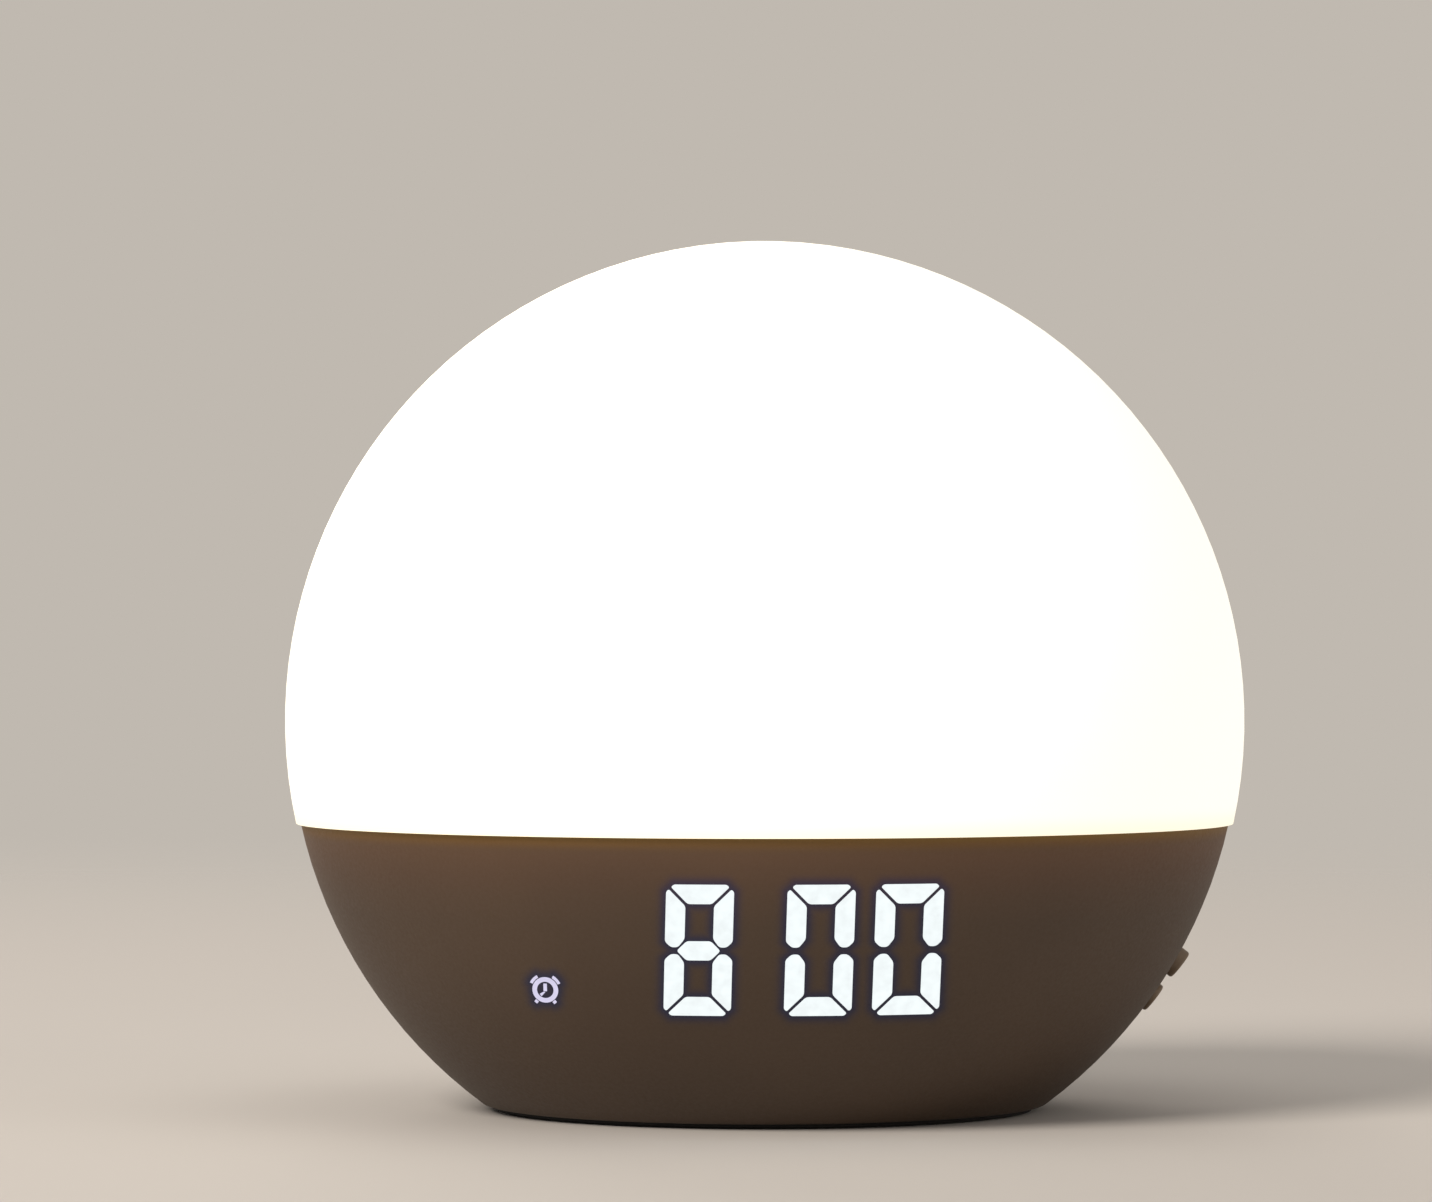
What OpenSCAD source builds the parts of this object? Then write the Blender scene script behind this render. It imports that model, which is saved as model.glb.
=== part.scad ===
// Sunrise alarm clock: a glowing dome snapped onto a bowl-shaped base with a hidden clock display.
// Millimetres. +Z is up, the display looks along -Y, and the origin is on the table under the middle.

/* [Globe] */
// Diameter of the dome
globe_d = 150; // [145:1:160]
// Wall of the dome
dome_wall = 2; // [1.6:0.1:2.6]
// Depth of the seam below the middle of the globe
seam_drop = 16; // [14:0.5:18]
// How far the base stands back from the dome
base_step = 0.7; // [0.4:0.1:1.2]
// Wall of the base
base_wall = 2.2; // [1.9:0.1:2.6]
// Diameter of the flat underside
floor_d = 87.6; // [86:0.2:94]
// Rounding of the edge round the underside
edge_r = 2; // [1:0.25:2.5]
// Thickness of the ribs inside the base and under the tray
rib_t = 1.2; // [1:0.1:1.6]
// Height of the ribs in the foot of the base
rib_h = 9; // [6:0.5:10]

/* [Rim joint] */
// Depth of the rebate inside the rim of the base
rim_depth = 3.2; // [2.6:0.1:4]
// Thickness of the lip that stays outside the rebate
rim_lip = 0.9; // [0.7:0.1:1.2]
// Thickness of the dome's tongue in the rebate
tongue_t = 1.4; // [1:0.1:1.8]
// Clearance round the tongue
rim_gap = 0.2; // [0.15:0.05:0.4]
// Height of the thick ring at the foot of the dome
shoulder_h = 2; // [1.5:0.5:4]
// Width of each snap hook
hook_w = 8; // [6:1:12]
// Thickness of each snap hook
hook_t = 1.2; // [0.9:0.1:1.6]
// How far a hook's barb reaches under the tray
barb_l = 1.5; // [1:0.1:2]

/* [Light tray] */
// Depth of the tray's top face below the seam
tray_drop = 2.5; // [2:0.1:3]
// Thickness of the tray
tray_t = 1.8; // [1.4:0.1:2.2]
// Height of the reflector's rim above the tray
reflector_h = 7; // [5:0.5:10]
// Diameter of the foot of the reflector
reflector_d = 106; // [102:1:110]
// Wall of the reflector
reflector_t = 1.4; // [1:0.1:2]
// Width of the shelves in the base that carry the tray
shelf_w = 3.2; // [2.4:0.2:4]
// Thickness of the shelves
shelf_t = 2; // [1.5:0.25:3]
// How far round the rim each shelf reaches, in degrees
shelf_turn = 20; // [14:1:22]
// Distance from the wall in to the tray screws
tray_screw_in = 5.6; // [5:0.2:7]
// Length of the bosses under the tray
tray_boss_h = 14; // [11:0.5:16]

/* [Light board] */
// Distance from the LED board out to the reflector
led_board_gap = 5; // [3:0.5:8]
// Height of the standoffs under the LED board
led_standoff_h = 3; // [2:0.5:4]
// Distance from the LED board's edge in to its screws
led_screw_in = 6; // [5:0.5:7]
// Length of an LED
led_l = 3.5; // [3:0.1:4]
// Width of an LED
led_w = 2.8; // [2.4:0.1:3.2]
// Height of an LED
led_h = 1.4; // [0.8:0.1:1.9]
// Radius of the inmost ring of LEDs
led_ring_in = 9; // [7:0.5:12]
// Distance from the LED board's screws in to the outmost ring of LEDs
led_ring_out = 7; // [6:0.5:9]
// How many LEDs each ring holds
led_counts = [6, 12, 18];

/* [Boards] */
// Thickness of the circuit boards
board_t = 1.6; // [1:0.2:1.6]
// Height of the main board above the underside
main_board_h = 18; // [17.5:0.25:19]
// Distance from the main board's screws out to its edge
main_board_rim = 5; // [4:0.25:6]
// Distance from the display board back to the main board's straight front edge
main_board_gap = 6.4; // [5:0.2:9]
// Width of the tongue that carries the power inlet
inlet_tongue_w = 16; // [14:0.5:18]
// Distance from the edge of the underside in to the main board's screws
main_screw_in = 4.8; // [4.4:0.1:5.6]

/* [Bottom cover] */
// Distance from the edge of the underside in to the cover
cover_in = 5.5; // [5.2:0.1:6]
// Thickness of the cover
cover_t = 2; // [1.8:0.1:2.4]
// Clearance round the cover
cover_gap = 0.3; // [0.2:0.05:0.5]
// Width of the ledge that the cover is screwed up against
ledge_w = 3.5; // [2.5:0.25:3.5]
// Thickness of the ledge
ledge_t = 1.8; // [1.4:0.1:2.4]
// Distance from the cover's edge in to its screws
cover_screw_in = 5.5; // [5:0.25:6]
// Diameter of the sound holes
sound_hole_d = 2; // [1.5:0.1:2.4]
// Spacing of the rings of sound holes
sound_ring = 3.4; // [3:0.1:3.6]

/* [Foot ring] */
// Width of the rubber ring
foot_w = 2.4; // [2:0.1:2.8]
// Depth of its groove
foot_groove = 1; // [0.8:0.1:1.4]
// How far the ring stands out of the underside
foot_proud = 0.8; // [0.5:0.1:1.4]
// Distance from the edge of the underside in to the groove
foot_in = 1.6; // [1.5:0.1:2]
// Clearance on each side of the ring
foot_gap = 0.1; // [0.05:0.05:0.2]

/* [Loudspeaker] */
// Diameter of the loudspeaker
speaker_d = 32; // [28:1:32]
// Height of the basket behind the flange
basket_h = 6; // [5:0.5:7]
// Diameter of the magnet
magnet_d = 18; // [14:1:20]
// Height of the magnet
magnet_h = 4.6; // [3:0.2:5]
// Thickness of the gasket
gasket_t = 0.5; // [0.3:0.1:1]
// Thickness of the flange
flange_t = 1; // [0.8:0.1:1.4]
// Wall of the collar that holds the loudspeaker
collar_t = 1.4; // [1:0.1:1.6]
// Width of the flange round the cone
speaker_flange_w = 2.4; // [2:0.1:2.8]
// Diameter of the voice coil
coil_d = 7.2; // [6:0.2:8]

/* [Coin cell] */
// Diameter of the coin cell
cell_d = 20; // [16:1:20]
// Height of the coin cell
cell_h = 3.2; // [2.5:0.1:3.2]
// Wall round the cell that is part of the door
door_wall = 1.5; // [1.2:0.1:1.8]
// Reach of the door's two bayonet lugs
lug_l = 1.4; // [1:0.1:1.4]
// Thickness of the lugs
lug_t = 1.2; // [1:0.1:1.6]
// Width of the lugs, in degrees
lug_turn = 28; // [20:1:32]
// Turn of the door from locked to open, in degrees
door_turn = 45; // [40:1:60]
// Clearance round the door
door_gap = 0.25; // [0.2:0.05:0.4]
// Wall of the cell's bay
bay_wall = 1.4; // [1:0.1:1.6]
// Width of the coin slot in the door
coin_slot_w = 1.8; // [1.4:0.1:2.4]
// Length of the coin slot
coin_slot_l = 14; // [10:0.5:18]
// Depth of the coin slot
coin_slot_depth = 0.9; // [0.6:0.1:1.2]
// Clearance between the cell and the wall round it
cell_gap = 0.4; // [0.3:0.05:0.6]
// Room over the cell for its contact
bay_room = 2; // [1.5:0.25:3]
// Thickness of the contact leaves
leaf_t = 0.3; // [0.2:0.05:0.4]
// Width of the contact leaves
leaf_w = 6; // [4:0.5:7]
// Length of the leaf on top of the cell
leaf_l = 10; // [8:0.5:12]

/* [Display] */
// Width of a digit
digit_w = 10.2; // [9:0.1:11]
// Height of a digit
digit_h = 19.8; // [17:0.1:20]
// Width of a segment
stroke = 2.8; // [2:0.1:3]
// Gap between segments
segment_gap = 0.5; // [0.3:0.05:0.8]
// Distance between digits
digit_pitch = 13; // [12.6:0.1:13.4]
// Extra distance for the colon
colon_w = 4.8; // [4.4:0.1:5.2]
// Diameter of the colon's dots
dot_d = 2.2; // [1.6:0.1:2.6]
// Lean of the digits, in degrees
digit_lean = 2; // [0:0.5:3]
// Distance from the light tray down to the block of light boxes
display_gap = 1.7; // [1:0.1:2.4]
// Distance from the first digit to the well of the alarm lamp
icon_gap = 1.5; // [1:0.1:2]
// Height of the alarm lamp above the foot of the digits
icon_up = 3.9; // [3:0.1:5]
// Diameter of the alarm lamp's well
icon_d = 6.6; // [6:0.1:7]
// Wall of the block beside the alarm lamp
block_side = 1.4; // [1:0.1:2]
// Wall of the block above and below the digits
block_rim = 0.9; // [0.7:0.1:1.2]
// Depth of the block behind the front of the base
block_depth = 30.3; // [29:0.1:31]
// Thickness of the base's wall in front of the display
window_wall = 0.9; // [0.7:0.1:1.2]
// Thickness of the diffuser film
film_t = 0.25; // [0.15:0.05:0.4]
// Clearance round the block and in front of it
block_gap = 0.1; // [0.05:0.05:0.2]
// Length of the display board's screws under the head
display_screw_l = 6; // [5:0.25:7]

/* [Buttons] */
// Diameter of the two buttons on the side
side_button_d = 4.8; // [4:0.1:5]
// Depth of the side buttons below the seam
side_drop = 24.4; // [23.5:0.1:25]
// How far the side buttons stand out, measured midway between them
side_proud = 0.95; // [0.8:0.05:1.2]
// Slope of the side buttons' axes below level, in degrees
side_tilt = 38; // [34:0.5:40]
// Diameter of the four buttons on the back
back_button_d = 6.6; // [6:0.1:7]
// Distance between the edges of the back buttons
back_space = 4.4; // [3:0.2:5]
// Depth of the back buttons below the seam
back_drop = 14; // [13.5:0.25:14.5]
// How far the back buttons stand out
back_proud = 0.9; // [0.8:0.05:1.4]
// Slope of the back buttons' axes below level, in degrees
back_tilt = 22; // [20:0.5:24]
// Clearance round a button
button_gap = 0.15; // [0.1:0.05:0.25]
// Clearance between neighbouring buttons and switches
button_space = 0.4; // [0.3:0.1:0.8]
// Rounding of a button's edge
button_edge = 0.4; // [0.2:0.1:0.6]
// Width of the collar that keeps a button in
button_collar = 0.7; // [0.5:0.05:0.8]
// Thickness of that collar
button_collar_t = 0.8; // [0.6:0.1:1.2]
// Travel of a button
button_travel = 0.6; // [0.3:0.05:0.6]
// Depth of the side buttons' guides
side_guide_l = 3.6; // [3.4:0.1:4.4]
// Depth of the back buttons' guides
back_guide_l = 5.2; // [5:0.1:6]
// Wall of a button's guide
guide_wall = 1.1; // [0.9:0.1:1.2]

/* [Switches] */
// Side of a tact switch
switch_w = 6; // [5:0.1:6.2]
// Height of a tact switch
switch_h = 3.5; // [3.1:0.1:4]
// Diameter of a tact switch's plunger
plunger_d = 3.4; // [2.6:0.1:3.6]
// How far the plunger stands out of the switch
plunger_out = 1.1; // [0.9:0.1:1.6]
// Thickness of the switch boards
switch_board_t = 1.2; // [1:0.1:1.6]
// Margin of a switch board round its switches and its posts
switch_margin = 0.5; // [0.3:0.1:0.8]
// Wall of the posts that carry the switch boards
post_wall = 1.2; // [1:0.1:1.4]

/* [Power inlet] */
// Width of the inlet's metal shell
inlet_w = 8.94; // [8.8:0.02:9.1]
// Height of the inlet's metal shell
inlet_h = 3.26; // [3.1:0.02:3.4]
// Length of the inlet's metal shell
inlet_l = 7.35; // [6.5:0.05:8]
// Wall of the inlet's metal shell
inlet_wall = 0.3; // [0.2:0.05:0.35]
// Width of the recess for the plug
plug_w = 13; // [12:0.25:14]
// Height of the recess for the plug
plug_h = 7.6; // [7:0.2:8.4]
// Thickness of the wall behind the recess
inlet_web = 1.8; // [1.2:0.1:2.4]
// Depth of the recess for the plug
plug_depth = 4.4; // [3.8:0.1:5.4]

/* [Fasteners] */
// Diameter of the screws
screw_d = 2.9; // [2.5:0.1:3]
// Diameter of the screw heads
head_d = 5.4; // [4.8:0.1:5.6]
// Height of the screw heads
head_h = 1.8; // [1.4:0.1:2]
// Length of the screws under the head
screw_l = 8; // [6:0.5:9]
// Diameter of the small screws that hold the switch boards
small_screw_d = 1.9; // [1.6:0.1:2]
// Length of the small screws under the head
small_screw_l = 4; // [3:0.25:4.5]
// Wall of plastic round a screw
boss_wall = 2; // [1.6:0.1:2.4]
// Clearance between a screw's shank and its hole
screw_gap = 0.05; // [0.02:0.01:0.1]

/* [Hidden] */
$fn = 96;
// Distance that joined shapes run into each other
lap = 0.5;
// Distance that a cut runs past the face it opens
past = 1;
// Clearance left where two flat pieces must not touch
air = 0.3;
diagonals = [45, 135, 225, 315];
sides = [0, 90, 180, 270];
tray_screw_angles = [35, 145, 215, 325];

globe_r = globe_d / 2;
base_r = globe_r - base_step;
base_in_r = base_r - base_wall;
floor_r = floor_d / 2;
base_drop = sqrt(pow(base_r, 2) - pow(floor_r, 2));
floor_z = foot_proud;
mid_z = floor_z + base_drop;
seam_z = mid_z - seam_drop;

rebate_z = seam_z - rim_depth;
rebate_r = slice_r(base_r, rebate_z) - rim_lip;
tongue_or = rebate_r - rim_gap;
tongue_ir = tongue_or - tongue_t;

tray_top = seam_z - tray_drop;
tray_z = tray_top - tray_t;
tray_r = min(tongue_ir, slice_r(base_in_r, tray_z)) - rim_gap;
shelf_r = slice_r(base_in_r, tray_z) - shelf_w;
tray_screw_r = slice_r(base_in_r, tray_z) - tray_screw_in;
barb_top = tray_z - rim_gap;
barb_z = barb_top - hook_t;
hook_or = slice_r(base_in_r, barb_z) - air;
hook_ir = hook_or - hook_t;
led_board_z = tray_top + led_standoff_h;
led_board_r = reflector_d / 2 - led_board_gap;
led_screw_r = led_board_r - led_screw_in;
led_ring_step = (led_screw_r - led_ring_out - led_ring_in) / (len(led_counts) - 1);
tray_rib_in = 9;

cover_r = floor_r - cover_in;
cover_top = floor_z + cover_t;
ledge_top = cover_top + ledge_t;
ledge_r = cover_r - ledge_w;
cover_screw_r = cover_r - cover_screw_in;
foot_or = floor_r - foot_in - foot_gap;
foot_ir = foot_or - foot_w;

main_board_z = floor_z + main_board_h;
main_board_top = main_board_z + board_t;
main_screw_angles = [30, 150, 210, 330];
main_screw_r = floor_r - main_screw_in;
main_board_r = main_screw_r + main_board_rim;
inlet_z = main_board_top + inlet_h / 2;
inlet_face = slice_r(base_r, inlet_z) - plug_depth;
// The inlet's closed back, and the tongue that carries its contacts
inlet_back_t = 1;
inlet_tip_in = 0.8;
inlet_tip_w = 6.6;
inlet_tip_h = 0.7;

boss_r = screw_d / 2 + boss_wall;
head_room = 1;
pilot_r = screw_d / 2 + screw_gap;
small_pilot_r = small_screw_d / 2 + screw_gap;
small_head_d = small_screw_d * head_d / screw_d;
small_head_h = small_screw_d * head_h / screw_d;

// The stack under the loudspeaker and under the coin cell, both on the bottom cover
flange_z = cover_top + gasket_t;
basket_z = flange_z + flange_t;
magnet_z = basket_z + basket_h;
snap_z = basket_z + rim_gap;
snap_t = 1.2;
snap_reach = 1;
snap_turn = 24;
collar_ir = speaker_d / 2 + rim_gap;
speaker_y = ledge_r - air - collar_ir - collar_t;
cone_r = speaker_d / 2 - speaker_flange_w;
coil_r = coil_d / 2;
pole_r = coil_r - 1;
basket_wall = 0.8;
paper_t = 0.4;
terminal_l = 6;
terminal_w = 1.8;
terminal_h = 1.6;
terminal_r = speaker_d / 2 - air - terminal_w / 2;
door_ring_ir = cell_d / 2 + cell_gap;
door_ring_or = door_ring_ir + door_wall;
door_hole_r = door_ring_or + door_gap;
bay_ir = door_ring_or + lug_l + door_gap;
cell_y = ledge_r - air - bay_ir - bay_wall;
lug_z = cover_top + rim_gap;
lug_gap = 2;
cell_z = cover_top + rim_gap;
bay_top = cell_z + cell_h + bay_room;
// Where the legs of the two contacts pass through the roof of the bay
contact_xs = [-leaf_l / 2, cell_d / 2 + air + leaf_t / 2];

// The display: the centres of its digits, and the block that holds their light boxes
display_z = tray_z - display_gap - block_rim - digit_h / 2;
digit_xs = [for (side = [-1, 1], n = side < 0 ? [1, 0] : [0, 1])
    side * ((0.5 + n) * digit_pitch + colon_w / 2)];
colon_dots = [for (up = digit_h / 4 * [-1, 1]) [up * tan(digit_lean), up]];
block_top = display_z + digit_h / 2 + block_rim;
block_bottom = display_z - digit_h / 2 - block_rim;
icon_x = digit_xs[3] + digit_w / 2 + icon_gap + icon_d / 2;
icon_z = display_z - digit_h / 2 + icon_up;
block_half_w = icon_x + icon_d / 2 + block_side;
block_back = base_r - block_depth;
display_screw_x = block_half_w + block_gap + boss_r + air;
main_board_front = block_back - board_t - main_board_gap;
window_r = base_r - window_wall;
film_r = window_r - block_gap - film_t;
block_r = film_r - block_gap;
display_screw_up = 2;
display_screw_z = display_z + display_screw_up;
display_board_rim = 1.5;
display_board_half = display_screw_x + boss_r + display_board_rim;
display_led_w = 1.2;
display_led_h = 0.6;

// The parts on the main board: the place of each, its size across and along, and its height
connector_h = 5;
lead_x = 20;
lead_y = 4;
ribbon_in = 8;
ribbon_y = ribbon_in - main_board_front;
side_lead_x = 36;
back_lead_out = 1;
back_lead_y = main_screw_r + back_lead_out;
chips = [[-4, -4, 10, 10, 1.4], [-20, 14, 5, 6, 1.2], [14, 34, 5, 4, 1.2], [-14, 34, 6, 5, 1.5],
    [-22, -10, 8, 5, 1.5]];
connectors = [[lead_x, lead_y, 7.5, 5.8, connector_h], [0, ribbon_y, 16, 4, connector_h],
    [side_lead_x, 0, 5, 7.5, connector_h], [0, back_lead_y, 11, 5, connector_h]];
// The capacitors: the place of each, its diameter and its height
capacitors = [[24, -14, 8, 10], [24, 20, 6.3, 7], [-28, 24, 6.3, 7]];

// The leads: the wires, and the width and bend of each flat ribbon
wire_d = 1.3;
lead_hole_d = 7;
ribbon_t = 0.4;
display_ribbon_w = 12;
side_ribbon_w = 4;
back_ribbon_w = 8;
wide_bend = 3;
tight_bend = 2;
// How far the display's ribbon stands straight up out of its connector
ribbon_rise = 2.6;
connector_top = main_board_top + connector_h;

// Each bank of buttons: its buttons down the slope or across it, and the posts of its switch board
side_pitch = max(side_button_d + 2 * button_collar, switch_w) + button_space;
back_pitch = back_button_d + back_space;
side_row = [-side_pitch / 2, side_pitch / 2];
back_row = [for (n = [0:3]) (n - 1.5) * back_pitch];
post_r = small_pilot_r + post_wall;
side_post_y = max(switch_w / 2, side_button_d / 2 + button_collar) + post_r + switch_margin;
back_post_y = back_row[3] + max(switch_w / 2, back_button_d / 2 + button_collar) + post_r + switch_margin;
side_posts = [for (side = [-1, 1]) [0, side * side_post_y]];
back_posts = [for (side = [-1, 1]) [0, side * back_post_y]];
plunger_hold = 0.8;

// Radius of a level slice through a ball round the middle of the globe
function slice_r(ball_r, z) = sqrt(pow(ball_r, 2) - pow(z - mid_z, 2));

// Height of the base's skin over a plane square to a button's axis, at x down the slope and y across it
function skin_z(x, y, slant) =
    sqrt(pow(base_r, 2) - pow(x - base_r * sin(slant), 2) - pow(y, 2)) - base_r * cos(slant);

// Angle below the middle of the globe at which the skin lies a given depth below the seam
function skin_angle(drop) = asin((seam_drop + drop) / base_r);

// Points of an arc round a centre
function arc(centre, r, from, to, steps = 6) =
    [for (n = [0:steps]) let (a = from + (to - from) * n / steps) centre + r * [cos(a), sin(a)]];

// ---- Shapes that repeat ----

module ball(r) {
    translate([0, 0, mid_z]) sphere(r = r);
}

module ball_slice(r, from_z, to_z) {
    intersection() {
        translate([0, mid_z]) circle(r = r);
        translate([0, from_z]) square([r + past, to_z - from_z]);
    }
}

module ring(inner_r, outer_r, z, h) {
    translate([0, 0, z]) difference() {
        cylinder(r = outer_r, h = h);
        translate([0, 0, -past]) cylinder(r = inner_r, h = h + 2 * past);
    }
}

module ring_part(inner_r, outer_r, z, h, turn) {
    translate([0, 0, z]) rotate([0, 0, -turn / 2])
        rotate_extrude(angle = turn) translate([inner_r, 0]) square([outer_r - inner_r, h]);
}

module at_angles(angles, r) {
    for (a = angles) rotate([0, 0, a]) translate([r, 0, 0]) children();
}

// A flat shape in x and z, drawn out from y towards the front
module forward(y, depth) {
    translate([0, y, 0]) rotate([90, 0, 0]) linear_extrude(depth) children();
}

module slot_shape(w, h) {
    square([w - h, h], center = true);
    for (side = [-1, 1]) translate([side * (w - h) / 2, 0]) circle(d = h);
}

// The two crossed slots in the head of a screw
module cross_slots(d, depth) {
    reach = 0.6 * d;
    width = 0.13 * d;
    for (a = [0, 90]) rotate([0, 0, a]) cube([reach, width, depth * 2], center = true);
}

// A pan-head screw with its shank down, resting on z = 0
module pan_screw(d, l, hd, hh) {
    edge = hh / 2;
    translate([0, 0, -l]) cylinder(d = d, h = l);
    difference() {
        rotate_extrude() polygon(concat(
            [[0, 0], [hd / 2, 0]], arc([hd / 2 - edge, hh - edge], edge, 0, 90), [[0, hh]]));
        translate([0, 0, hh]) cross_slots(hd, hh / 2);
    }
}

// A countersunk screw with its head flush with z = 0 and its shank up
module flush_screw() {
    difference() {
        union() {
            cylinder(d1 = head_d, d2 = screw_d, h = (head_d - screw_d) / 2);
            cylinder(d = screw_d, h = screw_l);
        }
        cross_slots(head_d, head_h / 2);
    }
}

// A frame on the base's skin: z points out along the button axis, x down the slope
module on_flank(side, drop, tilt) {
    rotate([0, 0, side])
        translate([base_r * cos(skin_angle(drop)), 0, seam_z - drop])
            rotate([0, 90 + tilt, 0]) children();
}

module on_side() {
    on_flank(0, side_drop, side_tilt) children();
}

module on_back() {
    on_flank(90, back_drop, back_tilt) children();
}

// ---- Dome and light ----

module dome_diffuser() {
    color("ivory") {
        rotate_extrude() {
            difference() {
                ball_slice(globe_r, seam_z, mid_z + globe_r + past);
                ball_slice(globe_r - dome_wall, seam_z - past, mid_z + globe_r + past);
            }
            translate([tongue_ir, seam_z])
                square([slice_r(globe_r - dome_wall / 2, seam_z) - tongue_ir, shoulder_h]);
            translate([tongue_ir, rebate_z + rim_gap])
                square([tongue_t, rim_depth - rim_gap + shoulder_h]);
        }
        for (a = sides) rotate([0, 0, a]) dome_hook();
    }
}

module dome_hook() {
    forward(hook_w / 2, hook_w) polygon([
        [hook_or, barb_z], [hook_or, rebate_z + rim_gap], [tongue_ir + lap, rebate_z + rim_gap],
        [tongue_ir + lap, seam_z + shoulder_h], [hook_ir, seam_z + shoulder_h],
        [hook_ir, barb_top], [hook_ir - barb_l, barb_top], [hook_ir, barb_z]]);
}

module light_tray() {
    color("white") difference() {
        union() {
            translate([0, 0, tray_z]) cylinder(r = tray_r, h = tray_t);
            rotate_extrude() polygon([
                [reflector_d / 2, tray_top - lap], [reflector_d / 2 + reflector_t, tray_top - lap],
                [hook_ir - barb_l, tray_top + reflector_h],
                [hook_ir - barb_l - reflector_t, tray_top + reflector_h]]);
            at_angles(diagonals, led_screw_r)
                translate([0, 0, tray_top - lap]) cylinder(r = boss_r, h = led_standoff_h + lap);
            // Ribs on the tray, from near the middle out to near the reflector
            for (a = [0, 60, 120, 180, 240, 300]) rotate([0, 0, a])
                translate([tray_rib_in, -rib_t / 2, tray_top - lap])
                    cube([reflector_d / 2 - 2 * tray_rib_in, rib_t, led_standoff_h + lap]);
        }
        at_angles(diagonals, led_screw_r)
            translate([0, 0, tray_z - past]) cylinder(r = pilot_r, h = led_standoff_h + tray_t + 2 * past);
        at_angles(tray_screw_angles, tray_screw_r) {
            translate([0, 0, tray_z - past]) cylinder(r = pilot_r, h = tray_t + 2 * past);
            translate([0, 0, tray_top]) cylinder(d = head_d + 2 * head_room, h = reflector_h + past);
        }
        for (a = sides) rotate([0, 0, a])
            translate([hook_ir - air, -hook_w / 2 - air, tray_z - past])
                cube([tray_r, hook_w + 2 * air, tray_t + 2 * past]);
        translate([lead_x, lead_y, tray_z - past])
            cylinder(d = lead_hole_d, h = tray_t + led_standoff_h + past);
    }
}

module tray_screws() {
    color("silver") at_angles(tray_screw_angles, tray_screw_r)
        translate([0, 0, tray_top]) pan_screw(screw_d, screw_l, head_d, head_h);
}

module led_board() {
    color("white") difference() {
        translate([0, 0, led_board_z]) cylinder(r = led_board_r, h = board_t);
        at_angles(diagonals, led_screw_r)
            translate([0, 0, led_board_z - past]) cylinder(r = pilot_r, h = board_t + 2 * past);
    }
}

module led_chips() {
    color("khaki") for (n = [0:len(led_counts) - 1], i = [1:led_counts[n]])
        rotate([0, 0, (i + n / 2) * 360 / led_counts[n]])
            translate([led_ring_in + n * led_ring_step - led_w / 2, -led_l / 2, led_board_z + board_t])
                cube([led_w, led_l, led_h]);
}

module led_board_screws() {
    color("silver") at_angles(diagonals, led_screw_r)
        translate([0, 0, led_board_z + board_t])
            pan_screw(screw_d, screw_l - led_standoff_h, head_d, head_h);
}

// ---- Base ----

module base_profile() {
    difference() {
        rounded_bowl();
        ball_slice(base_in_r, ledge_top, seam_z + past);
        translate([0, floor_z - past]) square([cover_r + cover_gap, cover_t + past]);
        square([ledge_r, ledge_top + past]);
        translate([0, rebate_z]) square([rebate_r, rim_depth + past]);
        translate([foot_ir - foot_gap, floor_z - past]) square([foot_w + 2 * foot_gap, foot_groove + past]);
    }
}

// The outline of the bowl, with the edge round its underside turned on a small arc
module rounded_bowl() {
    round_z = floor_z + edge_r;
    round_r = slice_r(base_r - edge_r, round_z);
    turn = acos(round_r / (base_r - edge_r));
    on_ball = [base_r * cos(turn), mid_z - base_r * sin(turn)];
    difference() {
        ball_slice(base_r, floor_z, seam_z);
        polygon(concat(
            arc([round_r, round_z], edge_r, -90, -turn),
            [on_ball + past * [cos(turn), -sin(turn)], [floor_r + past, floor_z - past],
                [round_r, floor_z - past]]));
    }
}

module button_guides(row, across, guide_d, guide_l) {
    for (p = row)
        translate(across ? [0, p, -guide_l] : [p, 0, -guide_l]) cylinder(d = guide_d, h = guide_l + past);
}

module button_holes(row, across, hole_d, guide_l) {
    for (p = row)
        translate(across ? [0, p, -guide_l - past] : [p, 0, -guide_l - past])
            cylinder(d = hole_d, h = 2 * guide_l + past);
}

// Posts from the inside of the wall to a switch board
module board_posts(posts, guide_l) {
    back_z = -guide_l - board_depth();
    for (p = posts) translate([p[0], p[1], back_z]) cylinder(r = post_r, h = -back_z);
}

module post_holes(posts, guide_l) {
    for (p = posts)
        translate([p[0], p[1], -guide_l - board_depth() - past])
            cylinder(r = small_pilot_r, h = small_screw_l + past);
}

// Distance from the end of a button's guide to the face of its switch board
function board_depth() = rim_gap + button_collar_t + plunger_out + switch_h;

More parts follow.
